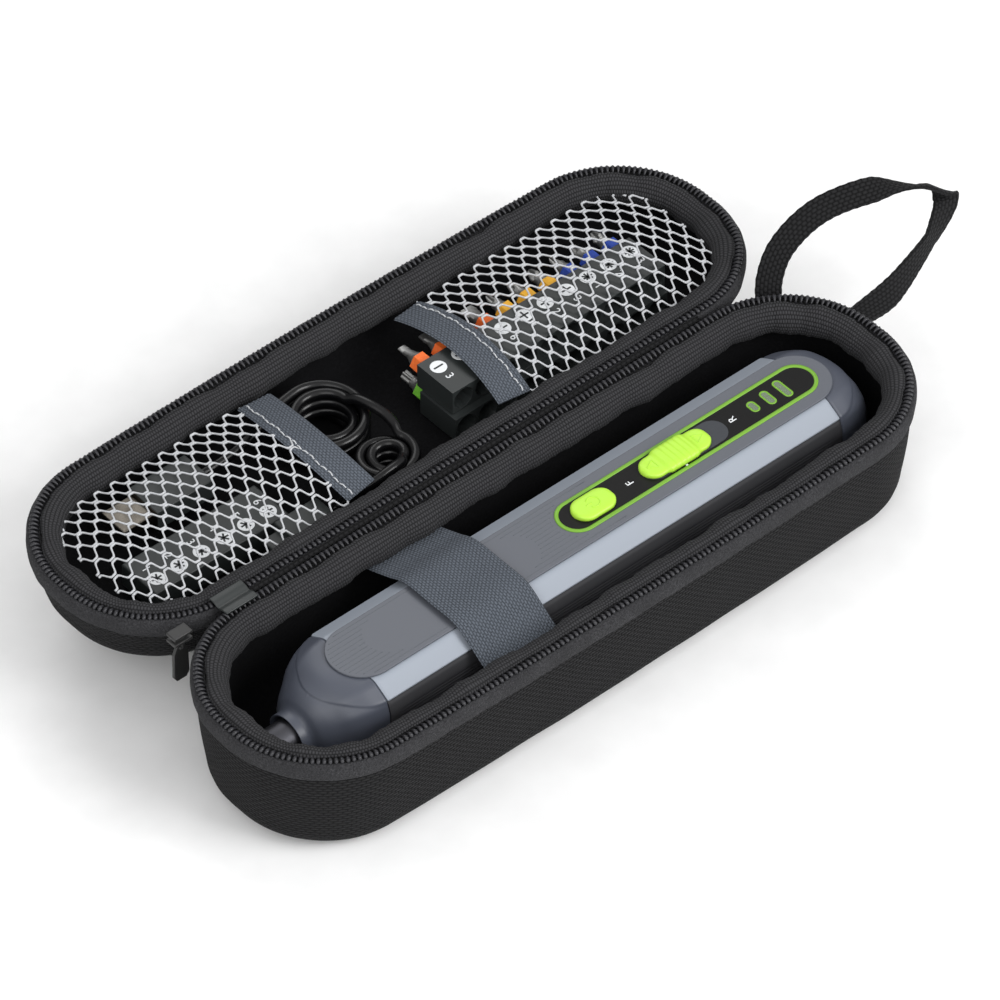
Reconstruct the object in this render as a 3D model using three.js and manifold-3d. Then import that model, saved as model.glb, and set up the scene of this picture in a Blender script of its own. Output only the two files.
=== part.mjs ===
// Cordless in-line screwdriver in an open hard-shell zip case.
// Millimetres, +Z up. X runs along the case, +Y points from the tool tray to the open lid.
// The origin is under the middle of the whole object, on the surface it rests on.
import * as THREE from 'three';
import { mergeVertices } from 'three/addons/utils/BufferGeometryUtils.js';
import Module from 'manifold-3d';

const wasm = await Module();
wasm.setup();

// ---------- driving dimensions: the case ----------
const CASE_HALF_LENGTH = 141; // outside of the zip tape
const CASE_HALF_WIDTH = 41;
const CASE_CORNER = 38.5;
const BASE_DEPTH = 46; // resting surface to the plane where the two rims meet
const LID_DEPTH = 27;
const HINGE_GAP = 0.5; // each outline to the hinge line, with the lid open
const RIM_CLEARANCE = 0.5; // each rim to the closing plane
const TAPE_HEIGHT = 7;
const TAPE_THICKNESS = 1.2;
const TEETH_WIDTH = 2.2;
const TEETH_HEIGHT = 1.9;
const WALL = 3.4; // laminated foam and fabric wall
const FLOOR = 3.8;
const DRAFT = 2.2; // how much each side comes in at the floor
const FLOOR_ROUND = 11;
const COLLAR_HEIGHT = 10;
const FIT = 0.3; // gap left between touching pieces

// ---------- driving dimensions: the tool ----------
const TOOL_AXIS_Z = 23.4;
const TOOL_NOSE_X = -115;
const NOSE_SEAM_X = -89;
const TAIL_SEAM_X = 106;
const TOOL_TAIL_X = 125;
const TOOL_TOP = 18.4; // above the tool's axis
const TOOL_BOTTOM = -18.5;
const BAND_INNER_Y = 12.6; // silver bevel band, from its inner edge
const BAND_OUTER_Y = 19.3; // to its outer edge
const BAND_DROP = 4.2;
const HOUSING_WALL = 2;
const INLAY_THICKNESS = 0.8;
const INLAY_START_X = -84;
const INLAY_END_X = 104;
const PANEL_CENTRE_X = 55.5;
const PANEL_LENGTH = 111;
const PANEL_WIDTH = 15.6;
const RING_WIDTH = 1.6;
const POWER_X = 14.5;
const POWER_SIZE = [16.6, 10.2];
const SWITCH_X = 50;
const SWITCH_SIZE = [28.6, 11];
const SWITCH_TRAVEL = 5.8; // forward to reverse
const WINDOW_X = [84.5, 91, 97.5];
const WINDOW_LENGTH = [4.4, 6.2, 8]; // across the tool
const WINDOW_WIDTH = 2.4;
const CHUCK_RADIUS = 6.5;
const CHUCK_TIP_X = -131;
const HEX_ACROSS_FLATS = 6.6;
const HEX_DEPTH = 14;

// ---------- driving dimensions: the accessories ----------
const RAIL_START_X = 14;
const BIT_PITCH = 9.35;
const BIT_COUNT = 10;
const RAIL_NEAR_Y = 69;
const RAIL_DEPTH = 18;
const RAIL_HEIGHT = 9.6;
const BIT_LENGTH = 25;
const BIT_REACH = 13.6; // tip to rail face
const BIT_RADIUS = 3.67; // across the corners of a quarter-inch hexagon
const LEAD_DIAMETER = 3.6;

// ---------- derived places ----------
const HINGE_Y = CASE_HALF_WIDTH + HINGE_GAP;
const LID_Y = 2 * HINGE_Y;
const BASE_RIM_Z = BASE_DEPTH - RIM_CLEARANCE;
const LID_FLOOR_Z = BASE_DEPTH - LID_DEPTH;
const LID_INSIDE_Z = LID_FLOOR_Z + FLOOR;
const TAPE_TOP_Z = BASE_RIM_Z - 0.9;
const SHELL_TOP_Z = BASE_RIM_Z - TEETH_HEIGHT - FIT;
const SHELL_INSET = TAPE_THICKNESS + FIT;
const COLLAR_INSET = SHELL_INSET + WALL + FIT;
const LOOP_REACH_X = 192.8;
const CORNER_STEPS = 8;

// ---------- finishes ----------
const finish = (color, roughness, metalness = 0) =>
  new THREE.MeshStandardMaterial({ color, roughness, metalness });
const shellFabric = () => finish(0x2b2c2e, 0.9);
const feltTape = () => finish(0x333436, 0.95);
const nylonCoil = () => finish(0x141416, 0.45);
const collarFabric = () => finish(0x2e2f31, 0.92);
const elastic = () => finish(0x666b72, 0.9);
const blackPlastic = () => finish(0x1d1e20, 0.5);
const greyPlastic = () => finish(0x464b55, 0.45);
const silverPaint = () => finish(0x8c93a0, 0.35, 0.5);
const inlayPlastic = () => finish(0x555a62, 0.5);
const limePlastic = () => finish(0xb4e646, 0.4);
const steel = () => finish(0x9a9a98, 0.3, 0.9);
const darkSteel = () => finish(0x3c3d40, 0.35, 0.8);

// ---------- mesh helpers ----------
/** A closed geometry from points and triangles, turned so that its faces point out. */
function closedGeometry(points, triangles) {
  let volume = 0;
  for (const [a, b, c] of triangles) {
    volume += points[a].dot(new THREE.Vector3().crossVectors(points[b], points[c]));
  }
  const order = volume < 0 ? ([a, b, c]) => [a, c, b] : (t) => t;
  const geometry = new THREE.BufferGeometry();
  const places = points.flatMap((p) => p.toArray());
  geometry.setAttribute('position', new THREE.Float32BufferAttribute(places, 3));
  geometry.setIndex(triangles.flatMap(order));
  return geometry;
}

/** Triangles from ring to ring, where every ring holds count points; the last may join the first. */
function ringSkin(ringCount, count, closed) {
  const triangles = [];
  const last = closed ? ringCount : ringCount - 1;
  for (let i = 0; i < last; i += 1) {
    const here = i * count;
    const next = ((i + 1) % ringCount) * count;
    for (let j = 0; j < count; j += 1) {
      const k = (j + 1) % count;
      triangles.push([here + j, here + k, next + k], [here + j, next + k, next + j]);
    }
  }
  return triangles;
}

/** Skin over rings that hold the same number of points; open ends are capped with a fan. */
function loft(rings, closed = false) {
  const count = rings[0].length;
  const points = rings.flat();
  const triangles = ringSkin(rings.length, count, closed);
  if (!closed) {
    const cap = (start, flip) => {
      const middle = points.length;
      const sum = new THREE.Vector3();
      for (let j = 0; j < count; j += 1) sum.add(points[start + j]);
      points.push(sum.divideScalar(count));
      for (let j = 0; j < count; j += 1) {
        const k = (j + 1) % count;
        triangles.push(flip ? [middle, start + k, start + j] : [middle, start + j, start + k]);
      }
    };
    cap(0, true);
    cap((rings.length - 1) * count, false);
  }
  return closedGeometry(points, triangles);
}

/** The case outline, brought in by inset, at height z: a rectangle with round corners. */
function caseRing(inset, z) {
  const halfLength = CASE_HALF_LENGTH - inset;
  const halfWidth = CASE_HALF_WIDTH - inset;
  const radius = CASE_CORNER - inset;
  const ring = [];
  const corners = [[1, 1], [-1, 1], [-1, -1], [1, -1]];
  corners.forEach(([sx, sy], quarter) => {
    for (let i = 0; i <= CORNER_STEPS; i += 1) {
      const angle = ((quarter + i / CORNER_STEPS) * Math.PI) / 2;
      const x = sx * (halfLength - radius) + radius * Math.cos(angle);
      const y = sy * (halfWidth - radius) + radius * Math.sin(angle);
      ring.push(new THREE.Vector3(x, y, z));
    }
  });
  return ring;
}

/** A band that follows the case outline; its section is a list of [inset, z]. */
const caseBand = (section) => loft(section.map(([inset, z]) => caseRing(inset, z)), true);

/** A hollow tray of moulded foam with a rounded floor edge. */
function trayGeometry(depth) {
  const floorZ = BASE_DEPTH - depth;
  const rings = [];
  const outerFloor = SHELL_INSET + DRAFT;
  const steps = 4;
  for (let i = 0; i <= steps; i += 1) {
    const angle = (i / steps) * (Math.PI / 2);
    const inset = outerFloor + FLOOR_ROUND * (1 - Math.sin(angle));
    rings.push(caseRing(inset, floorZ + FLOOR_ROUND * (1 - Math.cos(angle))));
  }
  rings.push(caseRing(SHELL_INSET, SHELL_TOP_Z));
  rings.push(caseRing(SHELL_INSET + WALL, SHELL_TOP_Z));
  rings.push(caseRing(SHELL_INSET + WALL, SHELL_TOP_Z - COLLAR_HEIGHT)); // upright behind the collar
  const innerRound = FLOOR_ROUND - WALL;
  for (let i = steps; i >= 0; i -= 1) {
    const angle = (i / steps) * (Math.PI / 2);
    const inset = outerFloor + WALL + innerRound * (1 - Math.sin(angle));
    rings.push(caseRing(inset, floorZ + FLOOR + innerRound * (1 - Math.cos(angle))));
  }
  return loft(rings);
}

/** Extrude a shape drawn in Y and Z along X. */
function extrudeAlongX(shape, fromX, toX) {
  const geometry = new THREE.ExtrudeGeometry(shape, { depth: toX - fromX, bevelEnabled: false });
  const turn = new THREE.Matrix4().makeBasis(
    new THREE.Vector3(0, 1, 0),
    new THREE.Vector3(0, 0, 1),
    new THREE.Vector3(1, 0, 0),
  );
  return geometry.applyMatrix4(turn).translate(fromX, 0, 0);
}

const polygon = (points) => new THREE.Shape(points.map(([a, b]) => new THREE.Vector2(a, b)));

/** A flat outline with two straight sides and two round ends; horizontal runs along X. */
function stadium(centreX, length, width, horizontal = true, target = new THREE.Shape()) {
  const radius = width / 2;
  const reach = length / 2 - radius;
  const turn = horizontal ? 0 : Math.PI / 2;
  const [dx, dy] = horizontal ? [reach, 0] : [0, reach];
  target.absarc(centreX + dx, dy, radius, turn - Math.PI / 2, turn + Math.PI / 2, false);
  target.absarc(centreX - dx, -dy, radius, turn + Math.PI / 2, turn + (3 * Math.PI) / 2, false);
  target.closePath();
  return target;
}

const stadiumHole = (x, length, width, horizontal) =>
  stadium(x, length, width, horizontal, new THREE.Path());

/** A flat plate between two heights; each round end of its shape has curveSegments steps. */
function plate(shape, bottom, top, curveSegments = 12) {
  const depth = top - bottom;
  return new THREE.ExtrudeGeometry(shape, { depth, bevelEnabled: false, curveSegments })
    .translate(0, 0, bottom);
}

/** A round piece whose axis runs along X; the profile holds [x, radius] from axis to axis. */
function turnedAlongX(profile, segments = 28) {
  const points = profile.map(([x, radius]) => new THREE.Vector2(radius, x));
  return new THREE.LatheGeometry(points, segments).rotateZ(-Math.PI / 2);
}

function toSolid(geometry) {
  const bare = geometry.clone();
  bare.deleteAttribute('normal');
  bare.deleteAttribute('uv');
  const merged = mergeVertices(bare, 1e-4);
  return new wasm.Manifold(new wasm.Mesh({
    numProp: 3,
    vertProperties: new Float32Array(merged.attributes.position.array),
    triVerts: new Uint32Array(merged.index.array),
  }));
}

function fromSolid(solid) {
  const mesh = solid.getMesh();
  const geometry = new THREE.BufferGeometry();
  geometry.setAttribute('position', new THREE.Float32BufferAttribute(mesh.vertProperties, 3));
  geometry.setIndex([...mesh.triVerts]);
  return geometry;
}

const cut = (body, ...tools) => fromSolid(tools.reduce((s, t) => s.subtract(toSolid(t)), toSolid(body)));
const join = (body, ...others) => fromSolid(others.reduce((s, o) => s.add(toSolid(o)), toSolid(body)));

const box = (sizeX, sizeY, sizeZ, x = 0, y = 0, z = 0) =>
  new THREE.BoxGeometry(sizeX, sizeY, sizeZ).translate(x, y, z);

function node(name, geometry, material, parent) {
  const mesh = new THREE.Mesh(geometry, material);
  mesh.name = name;
  parent.add(mesh);
  return mesh;
}

/** A thin arched sheet: rows along X, each a crown across Y; its ends are capped from top to underside. */
function archedSheet(rows, thickness) {
  const across = 8;
  const rings = rows.map(({ x, halfWidth, edgeZ, crown }) => {
    const ring = [];
    for (const [side, direction] of [[thickness, 1], [0, -1]]) {
      for (let j = 0; j <= across; j += 1) {
        const t = direction * ((2 * j) / across - 1);
        const z = edgeZ + crown * (1 - t * t) + side;
        ring.push(new THREE.Vector3(x, t * halfWidth, z));
      }
    }
    return ring;
  });
  const count = 2 * (across + 1);
  const triangles = ringSkin(rings.length, count, false);
  for (const start of [0, (rings.length - 1) * count]) {
    for (let j = 0; j < across; j += 1) {
      const [a, b, c, d] = [j, j + 1, count - 2 - j, count - 1 - j].map((k) => start + k);
      triangles.push(...(start === 0 ? [[a, c, b], [a, d, c]] : [[a, b, c], [a, c, d]]));
    }
  }
  return closedGeometry(rings.flat(), triangles);
}

const curveThrough = (points) =>
  new THREE.CatmullRomCurve3(points.map((p) => new THREE.Vector3(...p)), false, 'centripetal');

/** A tube of even thickness along a smooth curve through the given points. */
function tube(points, diameter, steps) {
  const extrudePath = curveThrough(points);
  const section = new THREE.Shape();
  section.absarc(0, 0, diameter / 2, 0, 2 * Math.PI, false);
  return new THREE.ExtrudeGeometry(section, { steps, extrudePath, curveSegments: 4, bevelEnabled: false });
}

// ---------- groups ----------
const model = new THREE.Group();
const base = new THREE.Group();
const lid = new THREE.Group();
const tool = new THREE.Group();
lid.position.y = LID_Y;
tool.position.z = TOOL_AXIS_Z;
model.add(base, lid, tool);

// ---------- the two trays ----------
const tapeSection = [
  [0.3, TAPE_TOP_Z - TAPE_HEIGHT],
  [0, TAPE_TOP_Z - TAPE_HEIGHT + 1],
  [0, TAPE_TOP_Z - 1],
  [0.5, TAPE_TOP_Z],
  [TAPE_THICKNESS, TAPE_TOP_Z],
  [TAPE_THICKNESS, TAPE_TOP_Z - TAPE_HEIGHT],
];
const teethInset = TAPE_THICKNESS + FIT;
const teethSection = [
  [teethInset, BASE_RIM_Z - TEETH_HEIGHT],
  [teethInset, BASE_RIM_Z - 0.5],
  [teethInset + 0.6, BASE_RIM_Z],
  [teethInset + TEETH_WIDTH - 0.6, BASE_RIM_Z],
  [teethInset + TEETH_WIDTH, BASE_RIM_Z - 0.5],
  [teethInset + TEETH_WIDTH, BASE_RIM_Z - TEETH_HEIGHT],
];
const collarTop = BASE_RIM_Z - 0.3;
const collarSection = [
  [COLLAR_INSET, collarTop - COLLAR_HEIGHT],
  [COLLAR_INSET, SHELL_TOP_Z + FIT],
  [teethInset + TEETH_WIDTH + FIT, SHELL_TOP_Z + FIT],
  [teethInset + TEETH_WIDTH + FIT, collarTop - 0.8],
  [COLLAR_INSET + 0.8, collarTop],
  [COLLAR_INSET + 3.4, collarTop - 0.4],
  [COLLAR_INSET + 5.6, collarTop - 2.2],
  [COLLAR_INSET + 6.8, collarTop - 5],
  [COLLAR_INSET + 5.4, collarTop - 8.2],
  [COLLAR_INSET + 2.6, collarTop - COLLAR_HEIGHT],
];
for (const [label, depth, parent] of [['base', BASE_DEPTH, base], ['lid', LID_DEPTH, lid]]) {
  node(`${label}_shell`, trayGeometry(depth), shellFabric(), parent);
  node(`${label}_zip_tape`, caseBand(tapeSection), feltTape(), parent);
  node(`${label}_zip_teeth`, caseBand(teethSection), nylonCoil(), parent);
  node(`${label}_collar`, caseBand(collarSection), collarFabric(), parent);
}

// ---------- fabric hinge, zip slider and pull ----------
const HINGE_LENGTH = 196;
const HINGE_STRIP = [HINGE_LENGTH, 0.4, 6];
node('hinge_panel', box(...HINGE_STRIP, 0, HINGE_Y, BASE_RIM_Z - 4), shellFabric(), base);

const TAB_SIZE = [13, 9, 0.8];
node('hinge_end_tab', box(...TAB_SIZE, -102, HINGE_Y, BASE_DEPTH + 0.8), finish(0x2a2a2b, 0.6), base);

const SLIDER_X = -124.5;
const SLIDER_Z = BASE_DEPTH - 1.5;
const SLIDER_PLATE = [7.4, 4.6, 1.2];
const SLIDER_POST = [1.8, 1.8, 3];
const sliderBody = join(
  box(...SLIDER_PLATE, SLIDER_X, HINGE_Y, SLIDER_Z + 1.4),
  box(...SLIDER_PLATE, SLIDER_X, HINGE_Y, SLIDER_Z - 1.4),
  box(...SLIDER_POST, SLIDER_X, HINGE_Y, SLIDER_Z),
);
node('zip_slider', sliderBody, darkSteel(), base);
const PULL_TOP_Z = SLIDER_Z - 3.4;
const PULL_THICKNESS = 1.2;
const pullSide = [[1.2, 0], [3, -4], [3.2, -14], [2, -16]];
const pullShape = polygon([...pullSide, ...[...pullSide].reverse().map(([x, z]) => [-x, z])]);
pullShape.holes.push(new THREE.Path([[-0.8, -1], [-0.8, -2.4], [0.8, -2.4], [0.8, -1]]
  .map(([a, b]) => new THREE.Vector2(a, b))));
const pullGeometry = new THREE.ExtrudeGeometry(pullShape, { depth: PULL_THICKNESS, bevelEnabled: false })
  .rotateX(Math.PI / 2)
  .translate(SLIDER_X, HINGE_Y + PULL_THICKNESS / 2, PULL_TOP_Z);
node('zip_pull', pullGeometry, finish(0x2a2a2b, 0.5), base);

// ---------- webbing carry loop ----------
const WEBBING_WIDTH = 9;
const WEBBING_THICKNESS = 1.4;
const loopRoute = [
  [124.2, 36, 39], [126.6, 38.4, 47], [133, 40, 56], [147, 37.4, 66], [166, 28, 71.5], [180, 23, 67],
  [190, 21, 58], [184, 19, 48.5], [171, 16, 42], [157, 12.6, 39.6], [141.5, 10.8, 40],
];
/** A flat strap along a curve; its width stays square to the curve and close to the given side. */
function strap(route, width, thickness, steps, sideAt) {
  const curve = curveThrough(route);
  const rings = [];
  for (let i = 0; i <= steps; i += 1) {
    const centre = curve.getPointAt(i / steps);
    const along = curve.getTangentAt(i / steps);
    const side = sideAt(i / steps);
    side.addScaledVector(along, -side.dot(along)).normalize();
    const out = new THREE.Vector3().crossVectors(along, side);
    const corner = (a, b) => centre.clone().addScaledVector(side, (a * width) / 2)
      .addScaledVector(out, (b * thickness) / 2);
    rings.push([corner(-1, -1), corner(1, -1), corner(1, 1), corner(-1, 1)]);
  }
  return loft(rings);
}
const loopSide = (t) => new THREE.Vector3(-0.75, 0.66, 0).lerp(new THREE.Vector3(-0.3, 0.95, 0), t);
node('carry_loop', strap(loopRoute, WEBBING_WIDTH, WEBBING_THICKNESS, 36, loopSide), feltTape(), base);

// ---------- elastic strap over the tool ----------
const STRAP_START_X = -55;
const STRAP_WIDTH = 30;
const strapOuter = [
  [-33, 33.2], [-28.5, 34.6], [-21.2, 39], [-19.6, 40.3], [-12.8, 44.5], [0, 44.9],
  [12.8, 44.5], [19.6, 40.3], [21.2, 39], [28.5, 34.6], [33, 33.2],
];
const STRAP_THICKNESS = 1.2;
const strapShape = polygon([
  ...strapOuter,
  ...[...strapOuter].reverse().map(([y, z]) => [y, z - STRAP_THICKNESS]),
]);
node('tool_strap', extrudeAlongX(strapShape, STRAP_START_X, STRAP_START_X + STRAP_WIDTH), elastic(), base);

// ---------- tool: outer section ----------
const RIDGE_COUNT = 5;
const RIDGE_PITCH = 2.6;
const RIDGE_DEPTH = 0.6;
const sideTop = TOOL_TOP - BAND_DROP - FIT;
const bandBottom = TOOL_TOP - BAND_DROP;
/** Right-hand side of the lower housing from its top edge to the bottom, with grip ridges. */
function gripSide() {
  const points = [[BAND_OUTER_Y, sideTop], [20.6, sideTop - 2.4]];
  for (let i = 0; i < RIDGE_COUNT; i += 1) {
    const z = sideTop - 3.4 - i * RIDGE_PITCH;
    points.push([20.6 - RIDGE_DEPTH, z], [20.6 - RIDGE_DEPTH, z - 0.8], [20.8, z - 1.2], [20.8, z - 2.2]);
  }
  points.push([20.2, -8], [17.6, -14], [12.5, -17.6], [8, TOOL_BOTTOM]);
  return points;
}
const mirrorY = (points) => [...points].reverse().map(([y, z]) => [-y, z]);
const innerSide = [
  [BAND_OUTER_Y - HOUSING_WALL, sideTop], [18, 9], [18, -6], [15.6, -12.6], [11.4, -15.6],
  [7, TOOL_BOTTOM + HOUSING_WALL],
];
const lowerShape = polygon([
  ...gripSide(), ...mirrorY(gripSide()), ...[...mirrorY(innerSide)].reverse(), ...[...innerSide].reverse(),
]);
const bodySpan = [NOSE_SEAM_X + FIT, TAIL_SEAM_X - FIT];
node('lower_housing', extrudeAlongX(lowerShape, ...bodySpan), blackPlastic(), tool);

const bandThickness = 1.7;
const upperShape = polygon([
  [BAND_OUTER_Y, bandBottom], [BAND_INNER_Y, TOOL_TOP],
  [-BAND_INNER_Y, TOOL_TOP], [-BAND_OUTER_Y, bandBottom],
  [-BAND_OUTER_Y + 2.6, bandBottom], [-BAND_INNER_Y + 0.4, TOOL_TOP - bandThickness],
  [BAND_INNER_Y - 0.4, TOOL_TOP - bandThickness], [BAND_OUTER_Y - 2.6, bandBottom],
]);
node('upper_housing', extrudeAlongX(upperShape, ...bodySpan), silverPaint(), tool);

// outline of the whole tool section as points around its axis
const SECTION_STEPS = 32;
const sectionCorners = [
  [BAND_INNER_Y, TOOL_TOP], [BAND_OUTER_Y, bandBottom], [20.8, 9], [20.8, -3], [20.2, -8], [17.6, -14],
  [12.5, -17.6], [8, TOOL_BOTTOM], [0, TOOL_BOTTOM],
];
/** Distance from the axis to the section outline in the direction of an angle. */
function sectionRadius(angle) {
  const dir = [Math.abs(Math.sin(angle)), Math.cos(angle)];
  const chain = [[0, TOOL_TOP], ...sectionCorners];
  for (let i = 0; i + 1 < chain.length; i += 1) {
    const [ay, az] = chain[i];
    const [by, bz] = chain[i + 1];
    const det = dir[0] * (az - bz) - dir[1] * (ay - by);
    if (Math.abs(det) < 1e-9) continue;
    const t = (ay * (az - bz) - az * (ay - by)) / det;
    const s = (dir[0] * az - dir[1] * ay) / det;
    if (t > 0 && s >= -1e-9 && s <= 1 + 1e-9) return t;
  }
  return TOOL_TOP;
}
/** A ring of the tool section at x: scaled, and drawn towards a circle by the given share. */
function toolRing(x, scale, circleRadius = 0, share = 0) {
  const ring = [];
  for (let i = 0; i < SECTION_STEPS; i += 1) {
    const angle = (i / SECTION_STEPS) * 2 * Math.PI;
    const radius = sectionRadius(angle) * scale * (1 - share) + circleRadius * share;
    ring.push(new THREE.Vector3(x, radius * Math.sin(angle), radius * Math.cos(angle)));
  }
  return ring;
}

const BORE_RADIUS = CHUCK_RADIUS + 0.7;
const noseCone = loft([
  toolRing(NOSE_SEAM_X, 1),
  toolRing(NOSE_SEAM_X - 6, 0.99, 19, 0.2),
  toolRing(NOSE_SEAM_X - 11, 0.95, 18, 0.5),
  toolRing(NOSE_SEAM_X - 15, 0.88, 15.8, 0.8),
  toolRing(NOSE_SEAM_X - 17.5, 0.78, 13, 1),
  toolRing(NOSE_SEAM_X - 19.5, 0.62, 9.6, 1),
  toolRing(TOOL_NOSE_X, 0.6, 8.8, 1),
  toolRing(TOOL_NOSE_X, 0.5, BORE_RADIUS, 1),
  toolRing(TOOL_NOSE_X + 11, 0.5, BORE_RADIUS, 1),
  toolRing(TOOL_NOSE_X + 16, 0.7, 12.6, 0.9),
  toolRing(NOSE_SEAM_X, 0.87),
], true);
node('nose_cone', noseCone, greyPlastic(), tool);

const tailCap = loft([
  toolRing(TOOL_TAIL_X - 3.4, 0.42, 8, 0.4),
  toolRing(TOOL_TAIL_X - 8, 0.74, 14, 0.3),
  toolRing(TAIL_SEAM_X, 0.87),
  toolRing(TAIL_SEAM_X, 1),
  toolRing(TAIL_SEAM_X + 6, 0.985, 19, 0.15),
  toolRing(TAIL_SEAM_X + 11.5, 0.92, 17.5, 0.35),
  toolRing(TAIL_SEAM_X + 15.5, 0.8, 14.8, 0.5),
  toolRing(TAIL_SEAM_X + 18, 0.6, 10.6, 0.6),
  toolRing(TOOL_TAIL_X, 0.34, 6, 0.6),
]);
const SOCKET_Z = -2;
const SOCKET_SLOT = [12, 9.6, 3.8];
const SOCKET_CASE = [7, 8.8, 3.1];
const SOCKET_HOLLOW = [6, 7.8, 2.1];
const socketSlot = box(...SOCKET_SLOT, TOOL_TAIL_X, 0, SOCKET_Z);
node('tail_cap', cut(tailCap, socketSlot), greyPlastic(), tool);
node('charge_socket', cut(
  box(...SOCKET_CASE, TOOL_TAIL_X - 4.6, 0, SOCKET_Z),
  box(...SOCKET_HOLLOW, TOOL_TAIL_X - 3.6, 0, SOCKET_Z),
), steel(), tool);

// ---------- tool: top plate and controls ----------
const plateBottom = TOOL_TOP + FIT;
const plateTop = plateBottom + INLAY_THICKNESS;
const inlayLength = INLAY_END_X - INLAY_START_X + 2 * (BAND_INNER_Y - 1);
const inlayShape = stadium((INLAY_START_X + INLAY_END_X) / 2, inlayLength, 2 * (BAND_INNER_Y - 0.6));
inlayShape.holes.push(stadiumHole(PANEL_CENTRE_X, PANEL_LENGTH + 2 * FIT, PANEL_WIDTH + 2 * FIT));
node('top_inlay', plate(inlayShape, plateBottom, plateTop), inlayPlastic(), tool);

const ringShape = stadium(PANEL_CENTRE_X, PANEL_LENGTH, PANEL_WIDTH);
const ringInside = [PANEL_LENGTH - 2 * RING_WIDTH, PANEL_WIDTH - 2 * RING_WIDTH];
ringShape.holes.push(stadiumHole(PANEL_CENTRE_X, ...ringInside));
node('panel_ring', plate(ringShape, plateBottom, plateTop + 0.2), limePlastic(), tool);

const panelInset = RING_WIDTH + FIT;
const panelShape = stadium(PANEL_CENTRE_X, PANEL_LENGTH - 2 * panelInset, PANEL_WIDTH - 2 * panelInset);
const slotCentre = SWITCH_X + SWITCH_TRAVEL / 2;
const slotSize = [SWITCH_SIZE[0] + SWITCH_TRAVEL + 0.8, SWITCH_SIZE[1] - 1.2];
const KEY_WIDTH = SWITCH_SIZE[1] - 2;
panelShape.holes.push(stadiumHole(POWER_X, POWER_SIZE[0] + 0.8, POWER_SIZE[1] + 0.8));
panelShape.holes.push(stadiumHole(slotCentre, ...slotSize));
WINDOW_X.forEach((x, i) => {
  panelShape.holes.push(stadiumHole(x, WINDOW_LENGTH[i] + 0.6, WINDOW_WIDTH + 0.6, false));
});
node('control_panel', plate(panelShape, plateBottom, plateTop), blackPlastic(), tool);
WINDOW_X.forEach((x, i) => {
  const lens = stadium(x, WINDOW_LENGTH[i], WINDOW_WIDTH, false);
  const solid = plate(lens, plateBottom, plateTop + 0.1, 8);
  node(`battery_window_${i + 1}`, solid, finish(0xa9c69a, 0.2), tool);
});

const BUTTON_TRAVEL = 0.8;
const buttonShape = stadium(POWER_X, ...POWER_SIZE);
const buttonBottom = plateBottom + BUTTON_TRAVEL;
node('power_button', plate(buttonShape, buttonBottom, buttonBottom + 1.9), limePlastic(), tool);

const KEY_STEPS = 8;
const keyPlate = plate(stadium(SWITCH_X, SWITCH_SIZE[0], KEY_WIDTH), plateBottom, plateTop + 1.4, KEY_STEPS);
const keyOutline = stadium(SWITCH_X, ...SWITCH_SIZE);
const keyFlange = plate(keyOutline, plateTop + FIT, plateTop + 1.9, KEY_STEPS);
const keySaddle = box(11.4, SWITCH_SIZE[1] + 1.4, 2.4, SWITCH_X, 0, plateTop + FIT + 1.2);
node('direction_switch', join(keyPlate, keyFlange, keySaddle), limePlastic(), tool);

// ---------- tool: drive ----------
const chuckBody = turnedAlongX([
  [CHUCK_TIP_X, 0], [CHUCK_TIP_X, CHUCK_RADIUS - 0.7], [CHUCK_TIP_X + 0.8, CHUCK_RADIUS],
  [TOOL_NOSE_X + 8, CHUCK_RADIUS], [TOOL_NOSE_X + 8, 4.5], [NOSE_SEAM_X - 1, 4.5], [NOSE_SEAM_X - 1, 0],
]);
const hexRadius = HEX_ACROSS_FLATS / Math.sqrt(3);
const BORE_OVERSHOOT = 1; // how far the cutter stands out of the tip
const hexBore = new THREE.CylinderGeometry(hexRadius, hexRadius, HEX_DEPTH + BORE_OVERSHOOT, 6)
  .rotateZ(Math.PI / 2)
  .translate(CHUCK_TIP_X + (HEX_DEPTH - BORE_OVERSHOOT) / 2, 0, 0);
node('bit_chuck', cut(chuckBody, hexBore), darkSteel(), tool);

const GEARBOX_LENGTH = 27;
const MOTOR_LENGTH = 38;
const MOTOR_RADIUS = 12.2;
const GEARBOX_RADIUS = 13.4;
const CELL_LENGTH = 65;
const CELL_RADIUS = 9.2;
const CELL_DROP = 5; // below the tool's axis
const INNER_SEGMENTS = 20;
const gearboxEnd = NOSE_SEAM_X + GEARBOX_LENGTH;
const motorEnd = gearboxEnd + FIT + MOTOR_LENGTH;
const gearboxStart = NOSE_SEAM_X - 0.6;
node('gearbox', turnedAlongX([
  [gearboxStart, 0], [gearboxStart, GEARBOX_RADIUS], [gearboxEnd, GEARBOX_RADIUS], [gearboxEnd, 0],
], INNER_SEGMENTS), greyPlastic(), tool);
node('motor', turnedAlongX([
  [gearboxEnd + FIT, 0], [gearboxEnd + FIT, MOTOR_RADIUS], [motorEnd, MOTOR_RADIUS],
  [motorEnd, 4], [motorEnd + 3, 4], [motorEnd + 3, 0],
], INNER_SEGMENTS), steel(), tool);
const cellStart = 34;
const cellEnd = cellStart + CELL_LENGTH;
node('battery_cell', turnedAlongX([
  [cellStart, 0], [cellStart, CELL_RADIUS], [cellEnd, CELL_RADIUS],
  [cellEnd, 3], [cellEnd + 1, 3], [cellEnd + 1, 0],
], INNER_SEGMENTS).translate(0, 0, -CELL_DROP), finish(0x3f6fa8, 0.5), tool);
const BOARD_SIZE = [98, 22, 1.6];
node('circuit_board', box(...BOARD_SIZE, PANEL_CENTRE_X, 0, 11), finish(0x1f6b3a, 0.6), tool);

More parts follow.
